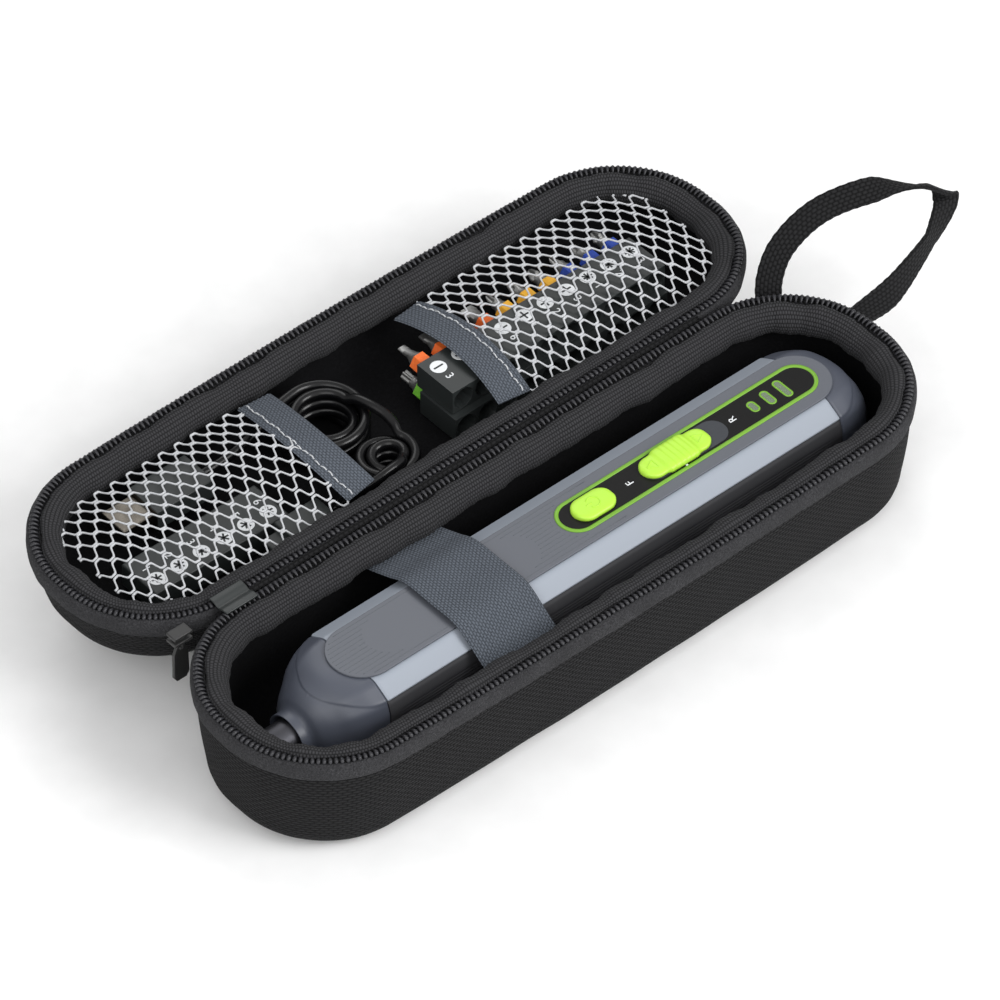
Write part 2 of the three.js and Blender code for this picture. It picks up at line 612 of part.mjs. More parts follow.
const LED_Y = 11.4;
const LED_X = TOOL_NOSE_X + 5.8;
const LED_RADIUS = 1.3;
const LED_LENGTH = 1.4;
const ledTop = (y) => new THREE.CylinderGeometry(LED_RADIUS, LED_RADIUS, LED_LENGTH, 12)
  .rotateZ(Math.PI / 2)
  .translate(LED_X, y, 0);
for (const [label, side] of [['far', 1], ['near', -1]]) {
  node(`work_light_${label}`, ledTop(side * LED_Y), finish(0xd8dadd, 0.2), tool);
}

// ---------- lid: mesh pockets and their elastic trims ----------
const POCKET_EDGE_Z = BASE_DEPTH - 5.4;
const POCKET_CROWN = 4;
const POCKET_HALF = 27.5;
/** Half width of the opening inside the collar at x. */
function pocketHalfWidth(x) {
  const arc = CASE_CORNER - 12;
  const over = Math.max(0, Math.abs(x) - (CASE_HALF_LENGTH - 12 - arc));
  return Math.min(POCKET_HALF, Math.sqrt(Math.max(0, arc * arc - over * over)) + 2.5);
}
function pocketRows(fromX, toX, count, crown) {
  return Array.from({ length: count + 1 }, (_, i) => {
    const x = fromX + ((toX - fromX) * i) / count;
    const fade = Math.min(1, (CASE_HALF_LENGTH - 12 - Math.abs(x)) / 16);
    return { x, halfWidth: pocketHalfWidth(x), edgeZ: POCKET_EDGE_Z, crown: crown * fade };
  });
}
const POCKET_END_X = 126;
const TRIM_WIDTH = 13;
const LEFT_MOUTH_X = -30;
const RIGHT_MOUTH_X = 23;
const MESH_THICKNESS = 0.7;
const TRIM_THICKNESS = 1.1;
const meshFinish = () => finish(0xe6e8ea, 0.7);
node('left_pocket_mesh', archedSheet(
  pocketRows(-POCKET_END_X, LEFT_MOUTH_X - TRIM_WIDTH - FIT, 12, POCKET_CROWN), MESH_THICKNESS,
), meshFinish(), lid);
node('left_pocket_trim', archedSheet(
  pocketRows(LEFT_MOUTH_X - TRIM_WIDTH, LEFT_MOUTH_X, 2, POCKET_CROWN), TRIM_THICKNESS,
), elastic(), lid);
node('right_pocket_mesh', archedSheet(
  pocketRows(RIGHT_MOUTH_X + TRIM_WIDTH + FIT, POCKET_END_X, 12, POCKET_CROWN), MESH_THICKNESS,
), meshFinish(), lid);
node('right_pocket_trim', archedSheet(
  pocketRows(RIGHT_MOUTH_X, RIGHT_MOUTH_X + TRIM_WIDTH, 2, POCKET_CROWN), TRIM_THICKNESS,
), elastic(), lid);

// ---------- lid: bit rails and bits ----------
/** A rail with one through hole per bit; it is drawn in X and Z and runs along Y. */
function railGeometry(count, pitch, depth, height, holeRadius) {
  const shape = polygon([[0, 0], [count * pitch, 0], [count * pitch, height], [0, height]]);
  for (let i = 0; i < count; i += 1) {
    const hole = new THREE.Path();
    hole.absarc((i + 0.5) * pitch, height / 2, holeRadius, 0, 2 * Math.PI, false);
    shape.holes.push(hole);
  }
  return new THREE.ExtrudeGeometry(shape, { depth, bevelEnabled: false, curveSegments: 5 })
    .rotateX(Math.PI / 2)
    .translate(0, depth, 0);
}
/** A 25 mm screwdriver bit pointing along +Y. */
function bitGeometry() {
  const shank = BIT_LENGTH - 9;
  const profile = [
    [0, 0], [BIT_RADIUS, 0], [BIT_RADIUS, shank], [2.4, shank + 1.4], [2.4, BIT_LENGTH - 2.5],
    [0.9, BIT_LENGTH], [0, BIT_LENGTH],
  ];
  return new THREE.LatheGeometry(profile.map(([r, y]) => new THREE.Vector2(r, y)), 6);
}
const HOLE_RADIUS = 4.2;
const railNearY = RAIL_NEAR_Y - LID_Y;
const lowerRailZ = LID_INSIDE_Z + 1;
const upperRailZ = lowerRailZ + RAIL_HEIGHT + FIT;
const LOWER_SHIFT = 2.6; // the lower rail lies a little back under the upper one
const bitY = railNearY + RAIL_DEPTH + BIT_REACH - BIT_LENGTH;
const upperRail = railGeometry(BIT_COUNT, BIT_PITCH, RAIL_DEPTH, RAIL_HEIGHT, HOLE_RADIUS);
node('upper_bit_rail', upperRail, blackPlastic(), lid).position.set(RAIL_START_X, railNearY, upperRailZ);
const lowerRail = railGeometry(BIT_COUNT, BIT_PITCH, RAIL_DEPTH, RAIL_HEIGHT, HOLE_RADIUS);
node('lower_bit_rail', lowerRail, blackPlastic(), lid)
  .position.set(RAIL_START_X - 1, railNearY - LOWER_SHIFT, lowerRailZ);
const bitNames = ['sl3', 'sl4', 'sl5', 'sl6', 'ph1', 'ph2', 'ph3', 'pz1', 'pz2', 'pz3'];
bitNames.forEach((label, i) => {
  node(`bit_${label}`, bitGeometry(), steel(), lid)
    .position.set(RAIL_START_X + (i + 0.5) * BIT_PITCH, bitY, upperRailZ + RAIL_HEIGHT / 2);
});
['star_20', 'star_25'].forEach((label, i) => {
  const x = RAIL_START_X - 1 + (i + 0.5) * BIT_PITCH;
  node(`bit_${label}`, bitGeometry(), steel(), lid)
    .position.set(x, bitY - LOWER_SHIFT, lowerRailZ + RAIL_HEIGHT / 2);
});
const SPARE_RAIL = [56, RAIL_DEPTH, RAIL_HEIGHT]; // the spare set, closed at this side
const SPARE_PLACE = [-84, -5, LID_INSIDE_Z + 1.2 + RAIL_HEIGHT / 2];
node('spare_bit_rail', box(...SPARE_RAIL, ...SPARE_PLACE), blackPlastic(), lid);

// ---------- lid: charging lead ----------
/** A closed ring that holds the turns of a round coil. */
function coilGeometry(innerRadius, outerRadius, height) {
  const section = [
    [innerRadius, 0], [outerRadius, 0], [outerRadius, height], [innerRadius, height], [innerRadius, 0],
  ];
  const ring = new THREE.LatheGeometry(section.map(([r, z]) => new THREE.Vector2(r, z)), 28);
  return ring.rotateX(Math.PI / 2);
}
const COIL_Z = LID_INSIDE_Z + 0.5;
const LARGE_COIL = { x: -20, y: 11.6, inner: 8.2, outer: 15.6, height: 11.9 };
const SMALL_COIL = { x: -16, y: -16.2, inner: 3.6, outer: 11, height: 11.9 };
for (const [label, coil] of [['large', LARGE_COIL], ['small', SMALL_COIL]]) {
  node(`lead_coil_${label}`, coilGeometry(coil.inner, coil.outer, coil.height), blackPlastic(), lid)
    .position.set(coil.x, coil.y, COIL_Z);
}
const leadZ = COIL_Z + LARGE_COIL.height + FIT + LEAD_DIAMETER / 2;
node('lead_tail', tube([
  [-20, 25.6, leadZ], [-31, 23.4, leadZ], [-42, 20.8, leadZ - 2], [-54, 19.6, leadZ - 4],
  [-66, 19.5, leadZ - 4.6],
], LEAD_DIAMETER, 10), blackPlastic(), lid);
node('lead_end', tube([
  [-16, -25.4, leadZ], [-27, -24.6, leadZ], [-38, -21.6, leadZ - 3.4], [-45.9, -21, leadZ - 4.4],
], LEAD_DIAMETER, 8), blackPlastic(), lid);
node('lead_link', tube([
  [-6.5, -12, leadZ], [-5.6, -4, leadZ], [-7.6, 3, leadZ],
], LEAD_DIAMETER, 6), blackPlastic(), lid);
const USB_HANDLE = [24, 15.4, 8];
const USB_SHELL = [14, 12, 4.5];
const CHARGE_HANDLE = [18, 10.4, 7];
const CHARGE_TIP = [8, 6.8, 2.2];
const plugZ = leadZ - 4.6;
const usbPlug = join(
  box(...USB_HANDLE, -78.3, 19.5, plugZ),
  box(...USB_SHELL, -96, 19.5, plugZ),
);
node('usb_plug', usbPlug, blackPlastic(), lid);
const plugLowZ = leadZ - 4.4;
const chargePlug = join(
  box(...CHARGE_HANDLE, -55.3, -21, plugLowZ),
  box(...CHARGE_TIP, -67, -21, plugLowZ),
);
node('charge_plug', chargePlug, blackPlastic(), lid);

// ---------- place the origin under the middle of the whole object ----------
const farY = LID_Y + CASE_HALF_WIDTH;
model.position.set(-(LOOP_REACH_X - CASE_HALF_LENGTH) / 2, -(farY - CASE_HALF_WIDTH) / 2, 0);

export default model;
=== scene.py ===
"""Looks of a cordless in-line screwdriver in its open hard-shell zip case."""
import math

import bmesh
import bpy
import numpy as np
from bpy.props import FloatProperty, FloatVectorProperty, PointerProperty
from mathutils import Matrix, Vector


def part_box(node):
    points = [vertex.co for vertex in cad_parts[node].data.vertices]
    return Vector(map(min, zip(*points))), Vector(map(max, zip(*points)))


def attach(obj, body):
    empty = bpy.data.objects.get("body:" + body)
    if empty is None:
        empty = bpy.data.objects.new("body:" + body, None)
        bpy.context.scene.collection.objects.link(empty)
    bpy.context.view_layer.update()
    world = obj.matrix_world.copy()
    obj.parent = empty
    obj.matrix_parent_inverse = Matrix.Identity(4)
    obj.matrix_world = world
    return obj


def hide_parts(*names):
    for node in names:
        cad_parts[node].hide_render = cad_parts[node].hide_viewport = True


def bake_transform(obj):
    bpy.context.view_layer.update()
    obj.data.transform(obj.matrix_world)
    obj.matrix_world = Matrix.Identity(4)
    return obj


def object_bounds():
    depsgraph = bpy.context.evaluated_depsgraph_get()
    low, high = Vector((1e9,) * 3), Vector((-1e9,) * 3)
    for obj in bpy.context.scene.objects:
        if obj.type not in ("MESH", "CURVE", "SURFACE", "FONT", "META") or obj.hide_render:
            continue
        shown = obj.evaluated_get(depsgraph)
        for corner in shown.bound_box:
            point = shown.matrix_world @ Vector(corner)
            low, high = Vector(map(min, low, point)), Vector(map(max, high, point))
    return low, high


bl_info = {
    "name": "Screwdriver Case Looks",
    "version": (1, 0, 0),
    "blender": (4, 5, 0),
    "location": "3D View > Sidebar > Screwdriver Case",
    "description": "Builds the visible surfaces of a cordless screwdriver in its open zip case",
    "category": "Object",
}

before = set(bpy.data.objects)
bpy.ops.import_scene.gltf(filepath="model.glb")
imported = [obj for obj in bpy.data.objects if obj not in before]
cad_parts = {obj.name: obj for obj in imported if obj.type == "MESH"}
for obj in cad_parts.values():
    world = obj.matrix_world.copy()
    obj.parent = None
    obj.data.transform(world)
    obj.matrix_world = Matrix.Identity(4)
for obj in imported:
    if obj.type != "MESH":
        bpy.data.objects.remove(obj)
CAD_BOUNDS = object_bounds()
MM = 0.001


# ---------- settings ----------
def length_setting(name, description, default):
    return FloatProperty(name=name, description=description, default=default, unit="LENGTH", precision=5)


def colour_setting(name, description, default):
    return FloatVectorProperty(
        name=name, description=description, default=default, subtype="COLOR", size=3, min=0.0, max=1.0
    )


class CaseSizes(bpy.types.PropertyGroup):
    """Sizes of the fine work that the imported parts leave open."""

    tooth_pitch: length_setting("Zip tooth pitch", "Distance between the turns of the nylon coil", 0.00195)
    rim_bow: length_setting("Rim bow", "How far the free long side bulges at its middle", 0.0024)
    pucker: length_setting("Collar pucker", "Height of the folds in the padded collar", 0.0011)
    cell_length: length_setting("Net cell length", "Pitch of the net cells along the case", 0.0068)
    cell_width: length_setting("Net cell width", "Pitch of the rows of net cells", 0.0042)
    thread: length_setting("Net thread", "Thickness of the net's thread", 0.0008)
    lead_diameter: length_setting("Lead diameter", "Thickness of the charging lead", 0.0036)


class CaseColours(bpy.types.PropertyGroup):
    """Colours of the main finishes."""

    shell: colour_setting("Shell", "Woven cover of both shells", (0.0046, 0.0046, 0.0049))
    tape: colour_setting("Zip band", "Brushed band round each rim", (0.021, 0.021, 0.0225))
    collar: colour_setting("Collar", "Ribbed stretch fabric", (0.0170, 0.0170, 0.0182))
    lining: colour_setting("Lining", "Smooth inner fabric", (0.0035, 0.0035, 0.004))
    elastic: colour_setting("Elastic", "Grey elastic of the strap and trims", (0.072, 0.082, 0.098))
    net: colour_setting("Net", "White knitted net", (0.50, 0.51, 0.53))
    grey: colour_setting("Tool grey", "Moulded ends of the tool", (0.037, 0.043, 0.055))
    silver: colour_setting("Silver", "Metallic paint of the bevel bands", (0.060, 0.067, 0.085))
    inlay: colour_setting("Inlay", "Plate along the top of the tool", (0.020, 0.0225, 0.028))
    lime: colour_setting("Lime", "Button and switch", (0.22, 0.45, 0.018))
    ring: colour_setting("Ring", "Line round the control panel", (0.17, 0.38, 0.030))
    panel: colour_setting("Panel", "Control panel", (0.0040, 0.0037, 0.0037))


# ---------- shader helpers ----------
class Recipe:
    """One material and the nodes that feed its shader."""

    def __init__(self, name):
        self.material = bpy.data.materials.new(name)
        self.material.use_nodes = True
        self.tree = self.material.node_tree
        self.shader = self.tree.nodes["Principled BSDF"]

    def feed(self, socket, value):
        if isinstance(value, bpy.types.NodeSocket):
            self.tree.links.new(value, socket)
        else:
            socket.default_value = value

    def add(self, kind, settings=(), **inputs):
        made = self.tree.nodes.new("ShaderNode" + kind)
        for key, value in dict(settings).items():
            setattr(made, key, value)
        for key, value in inputs.items():
            self.feed(made.inputs[key.replace("_", " ")], value)
        return made

    def math(self, operation, first, second=0.0):
        made = self.add("Math", {"operation": operation})
        self.feed(made.inputs[0], first)
        self.feed(made.inputs[1], second)
        return made.outputs[0]

    def blend(self, factor, first, second):
        made = self.add("Mix", {"data_type": "RGBA"})
        self.feed(made.inputs[0], factor)
        self.feed(made.inputs[6], first)
        self.feed(made.inputs[7], second)
        return made.outputs[2]

    def noise(self, size, detail=2.0, stretch=(1.0, 1.0, 1.0)):
        """Noise in Object coordinates whose lumps are about size metres across."""
        place = self.add("TexCoord").outputs["Object"]
        turned = self.add("Mapping", Vector=place, Scale=stretch).outputs[0]
        return self.add("TexNoise", Vector=turned, Scale=1.0 / size, Detail=detail).outputs["Fac"]

    def dashes(self, length, pitch):
        """Offset rows of stitches in the piece's own UV map: 1 on a stitch and 0 between."""
        flow = self.add("SeparateXYZ", Vector=self.add("UVMap").outputs[0])
        row = self.math("DIVIDE", flow.outputs[1], pitch)
        offset = self.math("MULTIPLY", self.math("FLOOR", row), 0.5)
        column = self.math("ADD", self.math("DIVIDE", flow.outputs[0], length), offset)
        turns = [self.math("MULTIPLY", x, math.pi) for x in (row, column)]
        waves = [self.math("ABSOLUTE", self.math("SINE", turn)) for turn in turns]
        return self.math("POWER", self.math("MULTIPLY", *waves), 0.6)

    def bump(self, height, depth):
        self.feed(self.shader.inputs["Normal"], self.add("Bump", Distance=depth, Height=height).outputs[0])

    def uniform(self, **values):
        for key, value in values.items():
            self.shader.inputs[key.replace("_", " ")].default_value = value


def shade(colour, factor):
    return tuple(min(1.0, c * factor) for c in colour) + (1.0,)


def fabric(name, colour, length, pitch, depth=0.00025, contrast=2.4, sheen=0.02, lump=0.012):
    """Woven cloth: dashes give the weave, with painted highlights on the stitches and painted shade between
    them, and two sizes of noise give fuzz and worn patches.
    """
    recipe = Recipe(name)
    weave = recipe.dashes(length, pitch)
    fuzz = recipe.noise(0.00045, 3.0)
    # painted light and shade: a lighter copy of the colour on each stitch and a darker copy between the
    # stitches
    lit = recipe.blend(weave, shade(colour, 1.0 / contrast), shade(colour, contrast))
    patches = recipe.math("MULTIPLY", recipe.noise(lump), 0.5)
    colour_out = recipe.blend(recipe.math("MULTIPLY", fuzz, patches), lit, shade(colour, 1.9))
    recipe.feed(recipe.shader.inputs["Base Color"], colour_out)
    recipe.uniform(Roughness=0.88, Specular_IOR_Level=0.12, Sheen_Weight=sheen, Sheen_Roughness=0.5)
    recipe.bump(recipe.math("ADD", weave, recipe.math("MULTIPLY", fuzz, 0.5)), depth)
    return recipe.material


def felt(name, colour, grain, depth=0.00025, contrast=2.6, sheen=0.02):
    """Brushed or smooth unwoven cloth: noise only, in three sizes."""
    recipe = Recipe(name)
    fine = recipe.noise(grain, 4.0)
    broad = recipe.noise(0.009)
    strong = recipe.math("POWER", fine, 2.2)
    speckled = recipe.blend(recipe.math("MULTIPLY", strong, 2.0), shade(colour, 0.55),
                            shade(colour, contrast))
    recipe.feed(recipe.shader.inputs["Base Color"], recipe.blend(broad, speckled, shade(colour, 1.2)))
    recipe.uniform(Roughness=0.92, Specular_IOR_Level=0.1, Sheen_Weight=sheen, Sheen_Roughness=0.45)
    recipe.bump(fine, depth)
    return recipe.material


def plastic(name, colour, roughness=0.42, grain=0.0004, depth=0.00002, metallic=0.0, painted_glint=0.0, coat=0.0,
            specular=0.45):
    """Moulded or painted plastic: fine texture in the surface, flow marks in colour and gloss, and a painted
    glint of bright specks in the colour.
    """
    recipe = Recipe(name)
    fine = recipe.noise(grain, 2.0)
    broad = recipe.noise(0.02, 3.0)
    flow = recipe.blend(broad, shade(colour, 0.9), shade(colour, 1.1))
    # painted glint: fine noise brightens the colour up to three times in small specks, standing in for
    # sparkle
    glint = recipe.math("MULTIPLY", recipe.math("POWER", fine, 3.0), painted_glint)
    recipe.feed(recipe.shader.inputs["Base Color"], recipe.blend(glint, flow, shade(colour, 3.0)))
    worn = recipe.add("MapRange", Value=broad, To_Min=roughness - 0.05, To_Max=roughness + 0.06)
    recipe.feed(recipe.shader.inputs["Roughness"], worn.outputs[0])
    recipe.uniform(Metallic=metallic, Coat_Weight=coat, Coat_Roughness=0.15, Specular_IOR_Level=specular)
    recipe.bump(fine, depth)
    return recipe.material


def metal(name, colour, roughness=0.3, stretch=(1.0, 1.0, 1.0), depth=0.00001):
    """Machined metal: noise drawn out into tool marks, with darker handled patches."""
    recipe = Recipe(name)
    marks = recipe.noise(0.0003, 3.0, stretch)
    broad = recipe.noise(0.006, 2.0)
    recipe.feed(recipe.shader.inputs["Base Color"],
                recipe.blend(broad, shade(colour, 0.75), shade(colour, 1.2)))
    worn = recipe.add("MapRange", Value=marks, To_Min=roughness - 0.08, To_Max=roughness + 0.12)
    recipe.feed(recipe.shader.inputs["Roughness"], worn.outputs[0])
    recipe.uniform(Metallic=1.0)
    recipe.bump(marks, depth)
    return recipe.material


# finish name: (maker, colour or the name of a colour setting, other values)
FINISHES = {
    "shell_cloth": (fabric, "shell", {"length": 0.0024, "pitch": 0.0012, "contrast": 4.2, "depth": 0.0006}),
    "zip_band_felt": (felt, "tape", {"grain": 0.0006, "depth": 0.0008, "contrast": 4.2}),
    "collar_cloth": (fabric, "collar", {"length": 0.0010, "pitch": 0.0014, "depth": 0.0003,
                                        "contrast": 3.0}),
    "lining_cloth": (felt, "lining", {"grain": 0.0009, "depth": 0.0001}),
    "elastic_cloth": (fabric, "elastic", {"length": 0.0016, "pitch": 0.0009, "contrast": 1.7,
                                          "depth": 0.0004}),
    "webbing": (fabric, (0.0085, 0.0085, 0.009), {"length": 0.0021, "pitch": 0.0013, "depth": 0.0004,
                                                  "contrast": 2.6}),
    "nylon_coil": (plastic, (0.004, 0.004, 0.005), {"roughness": 0.18, "grain": 0.0006}),
    "net_thread": (fabric, "net", {"length": 0.0007, "pitch": 0.0006, "contrast": 1.15, "depth": 0.00012}),
    "stitch_thread": (fabric, (0.62, 0.64, 0.67), {"length": 0.0006, "pitch": 0.0004, "contrast": 1.2}),
    "grey_plastic": (plastic, "grey", {"roughness": 0.36, "depth": 0.000025}),
    # the silver paint carries a painted glint of bright specks for its metallic sparkle
    "silver_paint": (plastic, "silver", {"roughness": 0.34, "metallic": 0.7, "painted_glint": 5.0,
                                         "grain": 0.0006}),
    "inlay_plastic": (plastic, "inlay", {"roughness": 0.5, "specular": 0.22}),
    # painted highlight: light colour standing for light caught on the edges of the inlay's engraved grooves
    "engraved_line": (plastic, (0.10, 0.11, 0.125), {"roughness": 0.5}),
    "grip_rubber": (plastic, (0.006, 0.006, 0.0065), {"roughness": 0.30, "grain": 0.0008}),
    "lime_plastic": (plastic, "lime", {"roughness": 0.42, "grain": 0.0003, "depth": 0.00004}),
    "ring_paint": (plastic, "ring", {"roughness": 0.35}),
    "panel_plastic": (plastic, "panel", {"roughness": 0.5, "grain": 0.0003, "specular": 0.25}),
    "recess_plastic": (plastic, (0.036, 0.040, 0.048), {"roughness": 0.45}),
    "window_lens": (plastic, (0.20, 0.205, 0.20), {"roughness": 0.15, "coat": 0.6}),
    "legend_ink": (plastic, (0.78, 0.80, 0.82), {"roughness": 0.5}),
    "black_plastic": (plastic, (0.0035, 0.0035, 0.004),
                      {"roughness": 0.34, "grain": 0.0005, "specular": 0.12}),
    "gunmetal": (metal, (0.060, 0.058, 0.060), {"roughness": 0.34, "stretch": (4.0, 1.0, 1.0)}),
    "bit_steel": (metal, (0.065, 0.058, 0.054), {"roughness": 0.36, "stretch": (1.0, 0.2, 1.0)}),
    "plated_metal": (metal, (0.16, 0.145, 0.125), {"roughness": 0.28}),
    "black_metal": (metal, (0.014, 0.014, 0.015), {"roughness": 0.4}),
    "lamp_lens": (plastic, (0.10, 0.105, 0.11), {"roughness": 0.08, "coat": 0.8}),
    # the coloured sleeves carry a weak painted glint of bright specks
    "orange_band": (plastic, (0.80, 0.13, 0.02), {"roughness": 0.55, "grain": 0.0006, "painted_glint": 0.6}),
    "yellow_band": (plastic, (0.85, 0.42, 0.03), {"roughness": 0.55, "grain": 0.0006, "painted_glint": 0.3}),
    "blue_band": (plastic, (0.02, 0.06, 0.36), {"roughness": 0.55, "grain": 0.0006, "painted_glint": 0.4}),
    "green_band": (plastic, (0.13, 0.42, 0.03), {"roughness": 0.55, "grain": 0.0006, "painted_glint": 0.5}),
    "lead_sheath": (plastic, (0.004, 0.004, 0.0045), {"roughness": 0.22, "grain": 0.001, "specular": 0.35}),
    "board_green": (plastic, (0.015, 0.10, 0.04), {"roughness": 0.4}),
    "cell_wrap": (plastic, (0.03, 0.10, 0.28), {"roughness": 0.3}),
    "gear_case": (plastic, (0.05, 0.05, 0.055), {"roughness": 0.5}),
    "motor_steel": (metal, (0.5, 0.5, 0.5), {"roughness": 0.35, "stretch": (0.2, 1.0, 1.0)}),
    "studio_floor": (plastic, (0.97, 0.97, 0.97), {"roughness": 0.6, "grain": 0.004}),
}


def finish(name):
    """The material of that finish, made the first time it is asked for."""
    ready = bpy.data.materials.get(name)
    if ready:
        return ready
    maker, colour, values = FINISHES[name]
    if isinstance(colour, str):
        colour = tuple(getattr(bpy.context.scene.case_colours, colour))
    return maker(name, colour, **values)


# ---------- surface helpers ----------
def unit(vectors):
    return vectors / np.maximum(np.linalg.norm(vectors, axis=-1, keepdims=True), 1e-12)


def ease(x):
    """0 below 0 and 1 above 1, with a smooth step between."""
    x = np.clip(x, 0.0, 1.0)
    return x * x * (3.0 - 2.0 * x)


def even(points, count, closed=False):
    """The same line as count points evenly spaced along it."""
    travelled = np.concatenate([[0.0], np.cumsum(np.linalg.norm(np.diff(points, axis=0), axis=1))])
    targets = np.linspace(0.0, travelled[-1], count + 1 if closed else count)
    line = np.stack([np.interp(targets, travelled, column) for column in points.T], axis=1)
    return line[:-1] if closed else line


def curve_through(points, count, closed=False):
    """Centripetal Catmull-Rom curve through the points, as count points evenly spaced along it."""
    points = np.asarray(points, float)
    if closed:
        line = np.vstack([points[-1], points, points[:2]])
    else:
        line = np.vstack([2 * points[0] - points[1], points, 2 * points[-1] - points[-2]])
    gaps = np.sqrt(np.linalg.norm(np.diff(line, axis=0), axis=1))[:, None]
    before, start, stop, after = (line[i:len(line) - 3 + i] for i in range(4))
    gap_in, gap, gap_out = (gaps[i:len(gaps) - 2 + i] for i in range(3))
    leave = (start - before) / gap_in - (stop - before) / (gap_in + gap) + (stop - start) / gap
    arrive = (stop - start) / gap - (after - start) / (gap + gap_out) + (after - stop) / gap_out
    t = np.linspace(0.0, 1.0, 32, endpoint=False)[None, :, None]
    dense = (
        (2 * t**3 - 3 * t**2 + 1) * start[:, None] + (t**3 - 2 * t**2 + t) * (leave * gap)[:, None]
        + (3 * t**2 - 2 * t**3) * stop[:, None] + (t**3 - t**2) * (arrive * gap)[:, None]
    )
    dense = np.vstack([dense.reshape(-1, line.shape[1]), line[-2]])
    return even(dense, count, closed)


def steps_along(points, axis, wrap):
    """Distance travelled at each row or column of a grid of points, with the closing step last."""
    step = np.linalg.norm(np.roll(points, -1, axis=axis) - points, axis=-1).mean(axis=1 - axis)
    if not wrap:
        step[-1] = 0.0
    return np.concatenate([[0.0], np.cumsum(step)])


def patch(points, wrap=(False, False), slot=0):
    """One grid of points, or a stack of alike grids, with its faces and its flow coordinates in metres."""
    points = np.asarray(points, float)
    stack = points.reshape((-1,) + points.shape[-3:])
    copies, rows, columns = stack.shape[:3]
    i, j = np.meshgrid(
        np.arange(rows if wrap[0] else rows - 1),
        np.arange(columns if wrap[1] else columns - 1),
        indexing="ij",
    )
    corners = np.stack([i, j], -1).reshape(-1, 1, 2) + np.array([(0, 0), (1, 0), (1, 1), (0, 1)])
    faces = (corners[..., 0] % rows) * columns + corners[..., 1] % columns
    flow_u = steps_along(stack[0], 0, wrap[0])[corners[..., 0]]
    flow_v = steps_along(stack[0], 1, wrap[1])[corners[..., 1]]
    flow = np.stack([flow_u, flow_v], -1)
    offsets = (np.arange(copies) * rows * columns)[:, None, None]
    return {
        "points": stack.reshape(-1, 3),
        "faces": (faces[None] + offsets).reshape(-1, 4),
        "flow": np.broadcast_to(flow, (copies,) + flow.shape).reshape(-1, 2),
        "slot": np.full(copies * len(faces), slot),
    }


WELD = 4e-7  # points closer than this, in metres, are one


def piece(name, patches, finishes, body, replaces=(), sharp=None):
    """One object from its patches: seams and poles closed, faces out, riding on its body if one is named."""
    patches = patches if isinstance(patches, list) else [patches]
    starts = np.cumsum([0] + [len(p["points"]) for p in patches[:-1]])
    points = np.concatenate([p["points"] for p in patches])
    faces = np.concatenate([p["faces"] + start for p, start in zip(patches, starts)])
    mesh = bpy.data.meshes.new(name)
    mesh.from_pydata(points.tolist(), [], faces.tolist())
    mesh.uv_layers.new(name="flow").data.foreach_set("uv",
                                                     np.concatenate([p["flow"] for p in patches]).ravel())
    mesh.polygons.foreach_set("material_index", np.concatenate([p["slot"] for p in patches]))
    tidy_mesh(mesh, sharp)
    made = bpy.data.objects.new(name, mesh)
    bpy.context.scene.collection.objects.link(made)
    for finish_name in finishes if isinstance(finishes, tuple) else (finishes,):
        mesh.materials.append(finish(finish_name))
    if body:
        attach(made, body)
    if replaces:
        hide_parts(*replaces)
    return made


def tidy_mesh(mesh, sharp):
    """Merges doubled points, turns the faces out and shades smooth up to the sharp angle in degrees."""
    work = bmesh.new()
    work.from_mesh(mesh)
    bmesh.ops.remove_doubles(work, verts=work.verts, dist=WELD)
    bmesh.ops.recalc_face_normals(work, faces=work.faces)
    work.to_mesh(mesh)
    work.free()
    mesh.polygons.foreach_set("use_smooth", np.ones(len(mesh.polygons), bool))
    if sharp is not None:
        mesh.set_sharp_from_angle(angle=math.radians(sharp))
    mesh.update()


def tubes(paths, radius, sides=8, up=(0.0, 0.0, 1.0)):
    """Round tubes with closed ends, all paths at once: path + radius * (cos a * side + sin a * lift)."""
    paths = np.asarray(paths, float)
    paths = paths[None] if paths.ndim == 2 else paths
    along = unit(np.gradient(paths, axis=1))
    side = unit(np.cross(np.broadcast_to(np.asarray(up, float), along.shape), along))
    lift = np.cross(along, side)
    radius = np.broadcast_to(np.asarray(radius, float), paths.shape[:2])
    paths, side, lift = (np.concatenate([a[:, :1], a, a[:, -1:]], axis=1) for a in (paths, side, lift))
    radius = np.pad(radius, ((0, 0), (1, 1)))
    angle = np.linspace(0.0, 2 * np.pi, sides, endpoint=False)[:, None]
    spokes = np.cos(angle) * side[:, :, None] + np.sin(angle) * lift[:, :, None]
    return patch(paths[:, :, None] + radius[..., None, None] * spokes, (False, True))


def swept(path, side, section):
    """A closed section carried along a path: path + a * side + b * (direction x side); ends close."""
    path, side, section = (np.asarray(a, float) for a in (path, side, section))
    along = unit(np.gradient(path, axis=0))
    side = np.broadcast_to(side, path.shape)
    side = unit(side - (side * along).sum(-1, keepdims=True) * along)
    out = np.cross(along, side)
    section = np.broadcast_to(section, (len(path),) + section.shape[-2:])
    points = path[:, None] + section[..., :1] * side[:, None] + section[..., 1:] * out[:, None]
    return patch(closed_front(points), (False, True))


